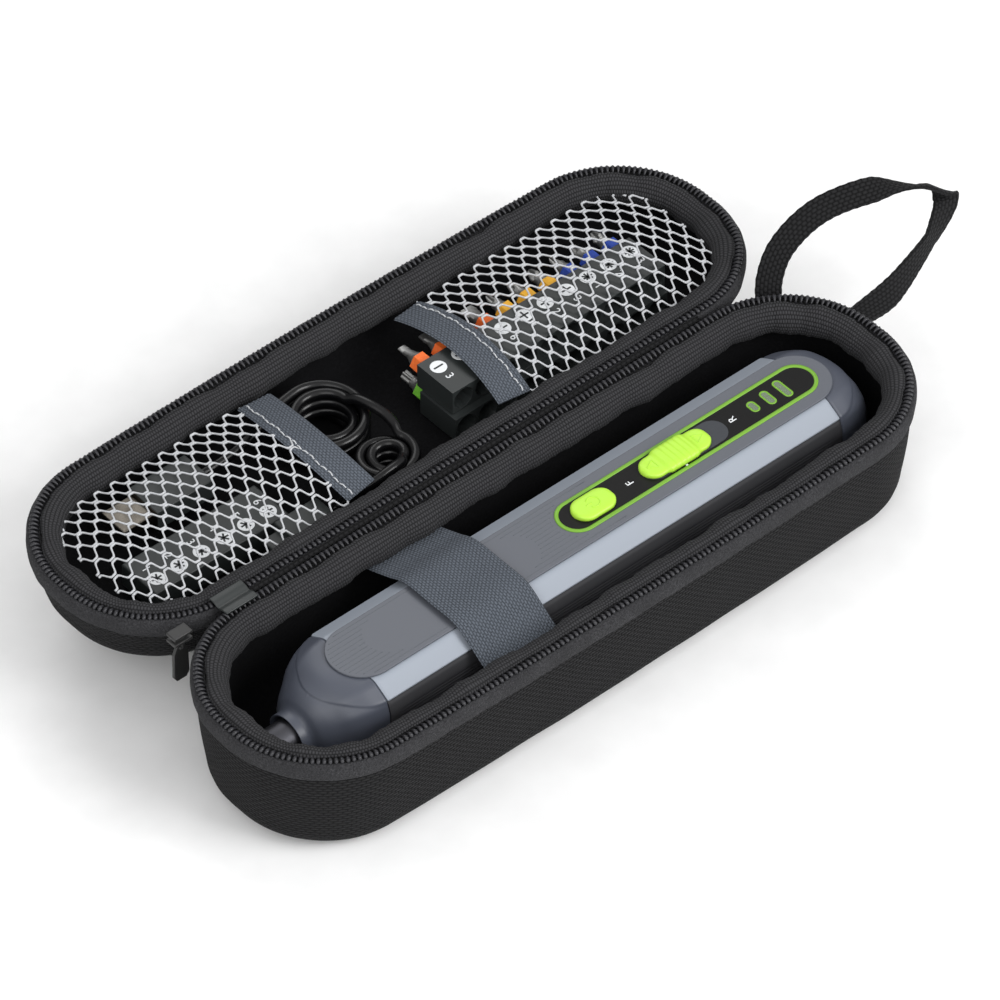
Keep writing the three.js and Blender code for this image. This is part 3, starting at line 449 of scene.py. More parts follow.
def rounded(corners, radius, steps=4):
    """A closed outline whose corners are replaced by arc-like curves of steps points."""
    corners = np.asarray(corners, float)
    to_last, to_next = np.roll(corners, 1, 0) - corners, np.roll(corners, -1, 0) - corners
    reach = np.minimum(np.linalg.norm(to_last, axis=1), np.linalg.norm(to_next, axis=1)) * 0.45
    reach = np.minimum(radius, reach)[:, None, None]
    t = np.linspace(0.0, 1.0, steps)[None, :, None]
    start = corners[:, None] + unit(to_last)[:, None] * reach
    stop = corners[:, None] + unit(to_next)[:, None] * reach
    curve = (1 - t) ** 2 * start + 2 * t * (1 - t) * corners[:, None] + t**2 * stop
    return curve.reshape(-1, corners.shape[1])


def block_section(width, height, radius, steps=4):
    """A rectangle with round corners, centred on zero."""
    a, b = width / 2, height / 2
    return rounded([(-a, -b), (a, -b), (a, b), (-a, b)], radius, steps)


def inset_rings(centre, outline, profile, count):
    """Rings inside a round-cornered outline: outline - inset * normal at each [inset, z] of the profile."""
    line, normal = oblong_outline(*outline, count)
    inset, height = np.asarray(profile, float).T
    points = np.zeros((count, len(inset), 3))
    points[..., :2] = line[:, None] - inset[None, :, None] * normal[:, None]
    points[..., 2] = height
    return points + np.asarray(centre, float)


def rounded_oblong(centre, half_length, half_width, radius, profile, count=96):
    """A closed plate with a round-cornered outline; its profile holds [inset, z] from foot to top."""
    points = inset_rings(centre, (half_length, half_width, radius), profile, count)
    first, last = (np.broadcast_to(points[:, i].mean(axis=0), (count, 1, 3)) for i in (0, -1))
    return patch(np.concatenate([first, points, last], axis=1), (True, False))


def oblong_outline(half_length, half_width, radius, count):
    """Points evenly round a rectangle with round corners, and the outward normals there."""
    angle = np.linspace(0.0, np.pi / 2, 48)
    line, normal = [], []
    for quarter, (sx, sy) in enumerate([(1, 1), (-1, 1), (-1, -1), (1, -1)]):
        turned = angle + quarter * np.pi / 2
        spoke = np.stack([np.cos(turned), np.sin(turned)], axis=1)
        line.append(np.array([sx * (half_length - radius), sy * (half_width - radius)]) + radius * spoke)
        normal.append(spoke)
    line, normal = (np.concatenate(a + [a[0][:1]]) for a in (line, normal))
    both = np.concatenate([line, normal], axis=1)
    travelled = np.concatenate([[0.0], np.cumsum(np.linalg.norm(np.diff(line, axis=0), axis=1))])
    targets = np.linspace(0.0, travelled[-1], count, endpoint=False)
    both = np.stack([np.interp(targets, travelled, column) for column in both.T], axis=1)
    return both[:, :2], unit(both[:, 2:])


def softened_copy(node, name, finishes, body, width=0.00015, sharp=35):
    """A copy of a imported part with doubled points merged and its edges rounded."""
    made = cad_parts[node].copy()
    made.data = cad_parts[node].data.copy()
    made.name = name
    made.data.name = name
    for key in [k for k in made.keys() if k.startswith("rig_")]:
        del made[key]
    made.parent = None
    bpy.context.scene.collection.objects.link(made)
    made.data.materials.clear()
    for finish_name in finishes if isinstance(finishes, tuple) else (finishes,):
        made.data.materials.append(finish(finish_name))
    work = bmesh.new()
    work.from_mesh(made.data)
    bmesh.ops.remove_doubles(work, verts=work.verts, dist=WELD)
    bmesh.ops.dissolve_limit(work, angle_limit=0.01, verts=work.verts, edges=work.edges)
    work.to_mesh(made.data)
    work.free()
    edge = made.modifiers.new("edge", "BEVEL")
    edge.width = width
    edge.segments = 2
    edge.limit_method = "ANGLE"
    edge.angle_limit = math.radians(sharp)
    edge.harden_normals = False
    made.data.polygons.foreach_set("use_smooth", np.ones(len(made.data.polygons), bool))
    made.data.set_sharp_from_angle(angle=math.radians(sharp))
    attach(made, body)
    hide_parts(node)
    return made


def oblong_band(centre, half_length, half_width, radius, profile, count=160):
    """A ring that follows a round-cornered outline; its closed profile holds [inset, z]."""
    return patch(inset_rings(centre, (half_length, half_width, radius), profile, count), (True, True))


def folds(rows, columns, waves, slant, seed):
    """Folds round a closed ring: a sum of sines with whole wave numbers, each leaning its own way."""
    rng = np.random.default_rng(seed)
    phase = rng.uniform(0.0, 2 * np.pi, len(waves))
    lean = rng.uniform(-slant, slant, len(waves))
    around = np.linspace(0.0, 2 * np.pi, rows, endpoint=False)[:, None, None]
    across = np.linspace(-1.0, 1.0, columns)[None, :, None]
    return np.sin(np.array(waves) * around + phase + lean * across).sum(axis=-1) / math.sqrt(2 * len(waves))


LETTER_DEPTH = 0.00006  # half thickness of printed marks, in metres


def text_piece(name, items, finish_name, body):
    """Flat letters: each item is (text, centre, reading direction, up direction, height), as one mesh."""
    work = bmesh.new()
    for text, centre, reading, up, height in items:
        curve = bpy.data.curves.new("letters", "FONT")
        curve.body = text
        curve.size = 1.0
        curve.extrude = LETTER_DEPTH / height
        curve.align_x = "CENTER"
        curve.align_y = "CENTER"
        drawn = bpy.data.objects.new("letters", curve)
        bpy.context.scene.collection.objects.link(drawn)
        bpy.context.view_layer.update()
        flat = bpy.data.meshes.new_from_object(drawn)
        reading, up = unit(np.array(reading, float)), unit(np.array(up, float))
        turn = np.stack([reading, up, np.cross(reading, up)], axis=1)
        points = np.array([v.co for v in flat.vertices]) * height
        moved = points @ turn.T + np.asarray(centre, float)
        flat.vertices.foreach_set("co", moved.ravel())
        work.from_mesh(flat)
        bpy.data.objects.remove(drawn)
        bpy.data.curves.remove(curve)
        bpy.data.meshes.remove(flat)
    mesh = bpy.data.meshes.new(name)
    work.to_mesh(mesh)
    work.free()
    made = bpy.data.objects.new(name, mesh)
    bpy.context.scene.collection.objects.link(made)
    mesh.materials.append(finish(finish_name))
    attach(made, body)
    return made


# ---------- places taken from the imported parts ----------
class CaseHalf:
    """One half of the case: outline centre and half sizes, rim height, floor height and free side."""

    def __init__(self, name, free_side):
        low, high = (np.array(corner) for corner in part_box(f"{name}_zip_tape"))
        self.name = name
        self.free_side = free_side
        self.centre = (low + high)[:2] / 2
        self.half_length, self.half_width = (high - low)[:2] / 2
        self.corner = self.half_width - 2.5 * MM
        self.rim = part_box(f"{name}_zip_teeth")[1][2]
        self.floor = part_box(f"{name}_shell")[0][2]

    def points(self, inset, height, count):
        """Outline - inset * normal at each height; the free long side bows out towards its middle."""
        line, normal = oblong_outline(self.half_length, self.half_width, self.corner, count)
        inset = np.broadcast_to(inset, (count, np.shape(inset)[-1]))
        points = np.zeros(inset.shape + (3,))
        points[..., :2] = line[:, None] - inset[..., None] * normal[:, None]
        points[..., 2] = height
        middle = np.clip(1 - (points[..., 0] / self.half_length) ** 2, 0, 1)
        free = ease(self.free_side * points[..., 1] / (0.5 * self.half_width))
        points[..., 1] += self.free_side * bpy.context.scene.case_sizes.rim_bow * middle * free
        points[..., :2] += self.centre
        return points


HALVES = (CaseHalf("base", -1.0), CaseHalf("lid", 1.0))
NOSE_LOW, NOSE_HIGH = (np.array(corner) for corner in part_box("nose_cone"))
TAIL_LOW, TAIL_HIGH = (np.array(corner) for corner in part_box("tail_cap"))
AXIS_Y = (NOSE_LOW[1] + NOSE_HIGH[1]) / 2
AXIS_Z = NOSE_LOW[2] + 18.5 * MM
SEAM = 0.15 * MM  # half the gap between two mouldings
# right-hand side of the tool's section round its axis, from the top edge to the bottom
SECTION = np.array([
    (12.6, 18.4), (19.3, 14.2), (20.8, 9.0), (20.8, -3.0), (20.2, -8.0), (17.6, -14.0),
    (12.5, -17.6), (8.0, -18.5),
]) * MM


# ---------- case: shells, zips, collars ----------
WALL = 3.4 * MM
SHELL_INSET = 1.5 * MM
DRAFT = 2.2 * MM
FLOOR_ROUND = 11 * MM
FLOOR_THICK = 3.8 * MM
SHELL_ROWS = 384
TURN_STEPS = 9
SHELL_BELOW_RIM = 2.2 * MM
BELLY = 0.7 * MM  # how far the outer wall bulges half way up
OUTER_RIPPLE = 0.16 * MM
LINING_RIPPLE = 0.35 * MM


def floor_rings(ring, count):
    """Rings from the given one to its middle point: middle + share * (ring - middle)."""
    middle = ring.mean(axis=0)
    share = np.linspace(1.0, 0.0, count)[None, :, None]
    return middle + share * (ring[:, None] - middle)


def build_shell(half):
    rows = SHELL_ROWS
    turn = np.linspace(0.0, np.pi / 2, TURN_STEPS)
    top = half.rim - SHELL_BELOW_RIM
    foot = half.floor + FLOOR_ROUND
    climb = np.linspace(0.0, 1.0, 16)[1:]
    belly = BELLY * np.sin(np.pi * climb)
    inset = np.concatenate([
        SHELL_INSET + DRAFT + FLOOR_ROUND * (1 - np.sin(turn)), SHELL_INSET + DRAFT * (1 - climb) - belly
    ])
    height = np.concatenate([half.floor + FLOOR_ROUND * (1 - np.cos(turn)), foot + (top - foot) * climb])
    soft = OUTER_RIPPLE * folds(rows, len(inset), (5, 9, 14, 23), 1.5, 3)
    outer = half.points(inset + soft, height, rows)
    outer[:, 0, 2] = half.floor
    outside = np.concatenate([floor_rings(outer[:, 0], 8)[:, ::-1], outer[:, 1:]], axis=1)
    inner_round = FLOOR_ROUND - WALL
    inner_foot = half.floor + FLOOR_THICK + inner_round
    drop = np.linspace(0.0, 1.0, 12)
    inner_inset = np.concatenate([
        SHELL_INSET + WALL + DRAFT * drop,
        SHELL_INSET + WALL + DRAFT + inner_round * (1 - np.sin(turn[::-1][1:])),
    ])
    inner_height = np.concatenate([
        top + (inner_foot - top) * drop, inner_foot - inner_round * np.cos(turn[::-1][1:])
    ])
    slack = LINING_RIPPLE * folds(rows, len(inner_inset), (7, 12, 19, 31), 2.5, 8)
    inner = half.points(inner_inset + slack, inner_height, rows)
    inside = np.concatenate([outer[:, -1:], inner, floor_rings(inner[:, -1], 14)[:, 1:]], axis=1)
    return piece(
        f"{half.name}_moulded_shell", [patch(outside, (True, False), 0), patch(inside, (True, False), 1)],
        ("shell_cloth", "lining_cloth"), half.name, [f"{half.name}_shell"], sharp=60,
    )


# closed sections as [inset from the outline, height above the rim], millimetres
BAND_SECTION = [(1.35, -7.9), (0.45, -7.7), (0.05, -6.6), (-0.15, -4.4), (0.0, -2.4), (0.45, -1.2),
                (1.2, -0.75),
                (1.6, -1.1), (1.45, -4.0)]
RIBBON_SECTION = [(1.6, -1.9), (3.0, -1.75), (4.4, -1.55), (5.0, -1.6), (4.4, -2.0), (3.0, -2.2),
                  (1.7, -2.3)]
COLLAR_SECTION = [(4.3, -1.5), (4.6, -0.5), (5.6, 0.15), (7.3, 0.1), (9.2, -0.7), (10.9, -2.3), (11.9, -4.6),
                  (11.7, -7.2), (10.4, -9.4), (8.2, -10.4), (6.2, -10.2), (5.3, -8.0), (5.3, -4.4)]
TOOTH_PATH = np.array([(4.3, -1.6), (3.7, -0.75), (2.9, -0.3), (2.2, -0.2), (1.65, -0.45),
                       (1.35, -1.1)]) * MM
TOOTH_RADIUS = np.array([0.22, 0.36, 0.52, 0.74, 0.74, 0.42]) * MM


def section_normals(section):
    """Outward directions of a closed section: its tangent turned by a quarter turn."""
    tangent = unit(np.roll(section, -1, 0) - np.roll(section, 1, 0))
    normal = np.stack([tangent[:, 1], -tangent[:, 0]], axis=1)
    outward = (section - section.mean(axis=0)) * normal
    return normal * np.sign(outward.sum())


def ring_of_cloth(half, section, rows, columns, height, waves, slant, seed):
    """A closed section carried round the rim, pushed out along its own normals by the folds."""
    section = curve_through(np.array(section) * MM, columns, closed=True)
    push = height * folds(rows, columns, waves, slant, seed)
    normal = section_normals(section)
    inset = section[:, 0] + push * normal[:, 0]
    return half.points(inset, half.rim + section[:, 1] + push * normal[:, 1], rows)


def build_zip(half):
    band = ring_of_cloth(half, BAND_SECTION, 420, 22, 0.12 * MM, (17, 31, 53, 88), 2.0, 4)
    piece(f"{half.name}_zip_band", patch(band, (True, True)), "zip_band_felt", half.name,
          [f"{half.name}_zip_tape"])
    ribbon = ring_of_cloth(half, RIBBON_SECTION, 420, 16, 0.05 * MM, (31, 53), 1.0, 5)
    piece(f"{half.name}_zip_ribbon", patch(ribbon, (True, True)), "webbing", half.name)
    around = 2 * np.pi * half.corner + 4 * (half.half_length + half.half_width - 2 * half.corner)
    teeth = round(around / bpy.context.scene.case_sizes.tooth_pitch)
    paths = half.points(TOOTH_PATH[:, 0], half.rim + TOOTH_PATH[:, 1], teeth)
    along_rim = (np.roll(paths, -1, 0) - np.roll(paths, 1, 0))[:, :1]
    piece(f"{half.name}_zip_coil", tubes(paths, TOOTH_RADIUS, 6, along_rim), "nylon_coil", half.name,
          [f"{half.name}_zip_teeth"])


COLLAR_ROWS = 1500
COLLAR_COLUMNS = 34
# share of the pucker's height, and wave numbers round the rim
BROAD_SHARE, BROAD_WAVES = 0.62, (7, 13, 19, 29, 41)
FINE_SHARE, FINE_WAVES = 0.15, (61, 97, 149, 211)


def build_collar(half):
    rows, columns = COLLAR_ROWS, COLLAR_COLUMNS
    height = bpy.context.scene.case_sizes.pucker
    broad = ring_of_cloth(half, COLLAR_SECTION, rows, columns, BROAD_SHARE * height, BROAD_WAVES, 3.4, 11)
    flat = ring_of_cloth(half, COLLAR_SECTION, rows, columns, 0.0, (1,), 0.0, 0)
    fine = ring_of_cloth(half, COLLAR_SECTION, rows, columns, FINE_SHARE * height, FINE_WAVES, 4.0, 12)
    made = piece(f"{half.name}_padded_collar", patch(broad + fine - flat, (True, True)), "collar_cloth",
                 half.name,
                 [f"{half.name}_collar"])


def build_hinge():
    low, high = (np.array(corner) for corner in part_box("hinge_panel"))
    rim = HALVES[0].rim
    path = np.linspace((low[0], 0.0, rim), (high[0], 0.0, rim), 120)
    path[:, 2] += 0.1 * MM * np.sin(np.linspace(0, 60, 120))
    centre_line = curve_through(np.array([(-1.0, -0.5), (-0.5, -1.2), (0.0, -1.6), (0.5, -1.2),
                                          (1.0, -0.5)]) * MM, 9)
    section = np.concatenate([centre_line + (0, 0.22 * MM), centre_line[::-1] - (0, 0.22 * MM)])
    strip = piece("hinge_fabric", swept(path, (0, 1, 0), section), "webbing", None,
                  ["hinge_panel"])
    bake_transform(strip)
    low, high = (np.array(corner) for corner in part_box("hinge_end_tab"))
    middle = (low + high) / 2
    route = np.array([(0, -4.5, 0.0), (0, -2.2, -0.1), (0, 0, -0.9), (0, 2.2, -0.1),
                      (0, 4.5, 0.0)]) * MM + middle
    section = block_section(high[0] - low[0], 0.7 * MM, 0.3 * MM)
    tab = piece("hinge_end_cover", swept(curve_through(route, 25), (1, 0, 0), section), "black_plastic",
                None,
                ["hinge_end_tab"])
    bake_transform(tab)
    softened_copy("zip_slider", "zip_slider_body", "black_metal", "base", 0.0003)
    softened_copy("zip_pull", "zip_pull_tag", "black_metal", "zip_pull", 0.0003)


# ---------- case: straps ----------
LOOP_ROUTE = np.array([
    (98.3, -5.5, 39.0), (100.7, -3.1, 47.0), (107.1, -1.5, 56.0), (121.1, -4.1, 66.0), (140.1, -13.5, 71.5),
    (154.1, -18.5, 67.0), (164.1, -20.5, 58.0), (158.1, -22.5, 48.5), (145.1, -25.5, 42.0),
    (131.1, -28.9, 39.6),
    (115.6, -30.7, 40.0),
]) * MM
LOOP_WIDTH = 9 * MM
LOOP_THICKNESS = 1.4 * MM
# width direction of the webbing at shares of its length
LOOP_TURNS = [(0.0, (-0.75, 0.66, 0.0)), (0.52, (-0.72, 0.69, 0.1)), (0.60, (-0.6, 0.5, 0.6)),
              (0.72, (-0.46, -0.1, 0.75)), (0.86, (-0.4, 0.3, 0.6)), (1.0, (-0.3, 0.95, 0.0))]


def build_carry_loop():
    count = 150
    path = curve_through(LOOP_ROUTE, count)
    share = np.linspace(0.0, 1.0, count)
    stops, sides = zip(*LOOP_TURNS)
    side = np.stack([np.interp(share, stops, column) for column in np.array(sides).T], axis=1)
    section = block_section(LOOP_WIDTH, LOOP_THICKNESS, 0.45 * MM)
    ripple = 1 + 0.02 * np.sin(share * 260)[:, None, None]
    piece("carry_webbing", swept(path, side, section * ripple), "webbing", "carry_loop",
          ["carry_loop"])


STRAP_LINE = np.array([
    (-33, 33.0), (-26.5, 35.2), (-20.4, 39.3), (-12.8, 43.95), (0, 44.4), (12.8, 43.95), (20.4, 40.6),
    (26.5, 38.0), (33, 35.4),
]) * MM


def ribbed_section(width, thickness, rib_pitch, rib_height, columns=72):
    """A flat band, thin at its edges; its top is thickness / 2 + rib_height * cos(2 pi a / pitch)."""
    across = np.linspace(-width / 2, width / 2, columns)
    edge = ease((width / 2 - np.abs(across)) / (0.8 * MM))
    ribs = rib_height * edge * np.cos(2 * np.pi * across / rib_pitch)
    face = (thickness / 2) * (0.35 + 0.65 * edge) + ribs
    return np.concatenate([np.stack([across, face], 1),
                           np.stack([across, -0.5 * thickness * edge], 1)[::-1]])


def build_tool_strap():
    low, high = (np.array(corner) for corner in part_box("tool_strap"))
    line = curve_through(STRAP_LINE, 130)
    path = np.stack([np.full(len(line), (low[0] + high[0]) / 2), line[:, 0] + AXIS_Y, line[:, 1]], axis=1)
    section = ribbed_section(high[0] - low[0], 1.15 * MM, 1.9 * MM, 0.09 * MM)
    made = piece("tool_elastic", swept(path, (-1, 0, 0), section), "elastic_cloth", "base",
                 ["tool_strap"])


# ---------- lid: net pockets ----------
NET_HALF_WIDTH = 27.5 * MM
NET_LONGEST = 126 * MM  # furthest reach of a net from the lid's middle
NET_ARC_INSET = 11 * MM
NET_FADE = 16 * MM  # length over which the crown dies out
NET_END_GAP = 12 * MM
SLACK_HEIGHT = 0.5 * MM
SLACK_WAVES = (260, 90, 170)  # radians per metre: along, across, and across for the cosine


class Pocket:
    """One net pocket: where it starts and ends along the case, and its height over the lid."""

    def __init__(self, name):
        self.name = name
        self.net_low, self.net_high = (np.array(c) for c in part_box(f"{name}_pocket_mesh"))
        self.trim_low, self.trim_high = (np.array(c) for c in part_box(f"{name}_pocket_trim"))
        self.half = HALVES[1]
        self.edge = self.net_low[2]
        self.crown = 5.0 * MM

    def reach(self, across):
        """How far from the lid's middle the net runs, at each distance from its centre line."""
        arc = self.half.corner - NET_ARC_INSET
        over = np.sqrt(np.clip(arc**2 - np.clip(np.abs(across) - 2.5 * MM, 0, None) ** 2, 0, None))
        return np.minimum(self.half.half_length - self.half.corner + over, NET_LONGEST)

    def height(self, along, across):
        """Crown of the net: 1 - t * t across the pocket, dying out at the round end, with a slack ripple."""
        fade = np.clip((self.half.half_length - NET_END_GAP - np.abs(along)) / NET_FADE, 0, 1)
        return self.edge + self.crown * fade * self.swell(across) + self.slack(along, across) + 0.4 * MM

    def swell(self, across):
        """1 on the centre line and 0 at both long edges: 1 - t * t."""
        return 1 - np.clip(across / NET_HALF_WIDTH, -1, 1) ** 2

    def slack(self, along, across):
        """Ripple of the loose net: a slanted sine times a cosine across it."""
        run, slant, width = SLACK_WAVES
        ripple = np.sin(along * run + across * slant) * np.cos(across * width)
        return SLACK_HEIGHT * ripple * self.swell(across)


def build_pocket(pocket):
    sizes = bpy.context.scene.case_sizes
    centre = pocket.half.centre
    side = -1.0 if pocket.name == "left" else 1.0
    mouth = (pocket.net_high[0] if side < 0 else pocket.net_low[0]) - centre[0]
    across = np.linspace(-27.0 * MM, 27.0 * MM, 1 + 2 * round(27.0 * MM / sizes.cell_width))
    samples = 230
    ends = np.stack([np.full(len(across), mouth - side * 1.5 * MM), side * pocket.reach(across)], axis=1)
    along = ends[:, :1] + (ends[:, 1:] - ends[:, :1]) * np.linspace(0, 1, samples)
    phase = along / sizes.cell_length + 0.5 * (np.arange(len(across)) % 2)[:, None]
    zigzag = np.clip(1.7 * (4 * np.abs(phase - np.floor(phase) - 0.5) - 1), -1, 1)
    zigzag = zigzag * (1.5 - 0.5 * zigzag**2)
    drift = 1.2 * MM * np.sin(along * 95 + across[:, None] * 60) * np.cos(across[:, None] * 52)
    y = across[:, None] + zigzag * (sizes.cell_width - 0.75 * sizes.thread) / 2 + drift
    z = pocket.height(along, y)
    paths = np.stack([along + centre[0], y + centre[1], z], axis=-1)
    radius = sizes.thread / 2 * (0.82 + 0.35 * np.abs(zigzag) ** 4)
    net = piece(f"{pocket.name}_net", tubes(paths, radius, 6), "net_thread", "lid",
                [f"{pocket.name}_pocket_mesh"])
    trim = build_trim(pocket, side)


def build_trim(pocket, side):
    centre = pocket.half.centre
    low, high = pocket.trim_low, pocket.trim_high
    y = np.linspace(-27.3 * MM, 27.3 * MM, 110)
    middle = (low[0] + high[0]) / 2
    along = np.full(len(y), middle - centre[0])
    lift = pocket.height(along, y) - pocket.slack(along, y) + 0.15 * MM
    bow = side * 2.0 * MM * pocket.swell(y)
    path = np.stack([middle + bow, y + centre[1], lift], axis=1)
    section = ribbed_section(high[0] - low[0], 1.0 * MM, 1.8 * MM, 0.07 * MM, 48)
    trim = piece(f"{pocket.name}_pocket_elastic", swept(path, (-1, 0, 0), section), "elastic_cloth", "lid",
                 [f"{pocket.name}_pocket_trim"])
    stitches = 19
    share = (np.arange(stitches) + 0.5)[:, None] / stitches + np.linspace(-0.4, 0.4, 7) / stitches
    line = np.stack([np.interp(share, np.linspace(0, 1, len(path)), column) for column in path.T], axis=-1)
    line[..., 0] += side * 0.28 * (high[0] - low[0]) + 0.25 * MM * np.sin(share * 40)
    line[..., 2] += (0.72 + 0.2 * np.cos(np.linspace(-np.pi, np.pi, 7))) * MM
    piece(f"{pocket.name}_pocket_stitches", tubes(line, 0.28 * MM, 6), "stitch_thread", "lid")
    return trim


# ---------- lid: bits and rails ----------
BIT_REACH = 13.6 * MM
# label: (shape of the tip, colour of the sleeve, half width of the tip in millimetres)
BIT_KINDS = {
    "sl3": ("slot", "orange_band", 1.5),
    "sl4": ("slot", "orange_band", 1.9),
    "sl5": ("slot", "orange_band", 2.4),
    "sl6": ("slot", "orange_band", 2.8),
    "ph1": ("cross", "yellow_band", 1.9),
    "ph2": ("cross", "yellow_band", 2.3),
    "ph3": ("cross", "yellow_band", 2.7),
    "pz1": ("cross", "blue_band", 1.9),
    "pz2": ("cross", "blue_band", 2.3),
    "pz3": ("cross", "blue_band", 2.7),
    "star_20": ("star", "green_band", 1.9),
    "star_25": ("star", "green_band", 2.2),
}


def bit_rings(stations, angle):
    """Rings across a bit from stations of (distance, shape, size); the shape sets the radius by angle."""
    sixth = np.pi / 3
    shapes = {
        "hex": lambda size: size * np.cos(sixth / 2) / np.cos(np.mod(angle, sixth) - sixth / 2),
        "round": lambda size: np.full(len(angle), size),
        "cross": lambda size: size * (0.45 + 0.55 * np.abs(np.cos(2 * angle)) ** 1.5),
        "star": lambda size: size * (0.86 + 0.14 * np.cos(6 * angle)),
    }
    rings = []
    for distance, shape, size in stations:
        if shape == "slot":
            half_width, half_thick = size
            inverse = np.abs(np.cos(angle) / half_width) ** 6 + np.abs(np.sin(angle) / half_thick) ** 6
            radius = inverse ** (-1 / 6)
        else:
            radius = shapes[shape](size)
        rings.append(np.stack([radius * np.cos(angle), np.full(len(angle), distance),
                               radius * np.sin(angle)], 1))
    return np.array(rings)


def build_bit(label):
    kind, band, size = BIT_KINDS[label]
    low, high = (np.array(corner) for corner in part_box(f"bit_{label}"))
    tip = high[1] - low[1]
    face = tip - BIT_REACH
    middle = np.array([(low[0] + high[0]) / 2, low[1], (low[2] + high[2]) / 2])
    angle = np.linspace(0, 2 * np.pi, 36, endpoint=False)
    shank, neck, size = 3.6 * MM, 2.1 * MM, size * MM
    tips = {
        "slot": [(face + 9.0 * MM, "slot", (size * 0.8, 1.5 * MM)),
                 (face + 11.0 * MM, "slot", (size, 0.8 * MM)),
                 (tip - 0.1 * MM, "slot", (size, 0.38 * MM)), (tip, "slot", (size * 0.96, 0.3 * MM))],
        "cross": [(face + 8.6 * MM, "round", neck), (face + 9.6 * MM, "cross", size),
                  (tip - 1.2 * MM, "cross", size * 0.62), (tip, "cross", size * 0.25)],
        "star": [(face + 8.6 * MM, "round", neck), (face + 9.4 * MM, "star", size),
                 (tip - 0.3 * MM, "star", size),
                 (tip, "star", size * 0.85)],
    }[kind]
    rear = bit_rings([(0, "hex", shank * 0.9), (0.5 * MM, "hex", shank), (face + 0.7 * MM, "hex", shank)],
                     angle)
    sleeve = bit_rings([(face + 0.7 * MM, "hex", shank), (face + 0.75 * MM, "hex", shank * 1.05),
                        (face + 4.9 * MM, "hex", shank * 1.05), (face + 5.0 * MM, "hex",
                                                                 shank * 0.97)], angle)
    front = bit_rings([(face + 5.0 * MM, "hex", shank * 0.97), (face + 5.6 * MM, "round", shank * 0.8),
                       (face + 7.2 * MM, "round", neck)] + tips, angle)
    rear = np.concatenate([np.broadcast_to(rear[0].mean(axis=0), (1, 36, 3)), rear])
    front = np.concatenate([front, np.broadcast_to(front[-1].mean(axis=0), (1, 36, 3))])
    grids = [(rear, 0), (sleeve, 1), (front, 0)]
    piece(f"driver_bit_{label}", [patch(g + middle, (False, True), slot) for g, slot in grids],
          ("bit_steel", band),
          "bit_rails", [f"bit_{label}"], sharp=28)


def bar(centre, half_length, half_width, direction, thickness=0.06 * MM):
    """A small printed bar lying flat, pointing in a direction given by its angle."""
    ahead = np.array([math.cos(direction), math.sin(direction), 0.0])
    path = np.linspace(-1, 1, 3)[:, None] * ahead * half_length + centre
    return swept(path, (-ahead[1], ahead[0], 0.0),
                 block_section(2 * half_width, 2 * thickness, thickness / 2, 2))


def disc(centre, radius):
    """A thin printed disc with a soft edge."""
    profile = np.array([(0, 0), (0, 0.06), (0.05, 0.1), (0.4, 0.1)]) * MM
    return rounded_oblong(centre, radius, radius * 0.999, radius * 0.998, profile, 40)


def build_rails():
    for node in ("upper_bit_rail", "lower_bit_rail", "spare_bit_rail"):
        body = "lid" if node.startswith("spare") else "bit_rails"
        softened_copy(node, f"{node}_block", "black_plastic", body, 0.0006)
    symbols = [("3", 1), ("4", 1), ("5", 1), ("6", 1), ("1", 2), ("2", 2), ("3", 2), ("1", 4), ("2", 4),
               ("3", 4)]
    low, high = (np.array(corner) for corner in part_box("upper_bit_rail"))
    print_rail("upper_rail", low, high, symbols, "bit_rails", 1.0)
    low, high = (np.array(corner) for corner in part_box("spare_bit_rail"))
    print_rail("spare_rail", low, high, [(text, 3) for text in "123456"], "lid", -1.0)


def print_rail(name, low, high, symbols, body, bits_side):
    """White discs with a dark symbol beside each bit, and the size beside each disc."""
    pitch = (high[0] - low[0]) / len(symbols)
    top = high[2] + 0.02 * MM
    middle = (low[1] + high[1]) / 2
    discs, marks, sizes = [], [], []
    for i, (text, bars) in enumerate(symbols):
        centre = np.array([low[0] + (i + 0.5) * pitch, middle + bits_side * 3.6 * MM, top])
        discs.append(disc(centre, 2.9 * MM))
        marks += [bar(centre + (0, 0, 0.14 * MM), 1.9 * MM, 0.33 * MM,
                      turn * np.pi / bars) for turn in range(bars)]
        sizes.append((text, centre - (0, bits_side * 5.6 * MM, -0.02 * MM), (0, -1, 0), (1, 0, 0), 4.2 * MM))
    piece(f"{name}_discs", discs, "legend_ink", body, sharp=50)
    piece(f"{name}_symbols", marks, "black_plastic", body, sharp=50)
    text_piece(f"{name}_sizes", sizes, "legend_ink", body)


# ---------- lid: charging lead ----------
LEAD_START = np.array([(-92.2, 61.0, 32.7), (-86.0, 61.0, 32.8), (-77.0, 61.3, 33.6), (-67.9, 62.4, 35.4),
                       (-57.5, 65.2, 37.1)]) * MM
LARGE_COIL = (np.array([-45.9, 53.1]) * MM, 13.8 * MM, 10.0 * MM, 90.0)
LEAD_MIDDLE = np.array([(-34.6, 49.8, 39.0), (-33.4, 44.7, 39.6), (-31.9, 37.5, 38.6),
                        (-32.2, 32.6, 37.6)]) * MM
SMALL_COIL = (np.array([-41.9, 25.3]) * MM, 9.2 * MM, 5.4 * MM, 24.0)
LEAD_STOP = np.array([(-42.6, 17.8, 38.9), (-47.5, 16.9, 39.5), (-54.5, 17.2, 38.0), (-63.9, 19.7, 34.4),
                      (-68.5, 20.4, 33.2), (-72.2, 20.5, 32.9)]) * MM
USB_TIP = 13 * MM
COIL_TOP = 37.3 * MM
COIL_FOOT = 25.1 * MM
COIL_TURNS = 3
STEPS_PER_TURN = 24


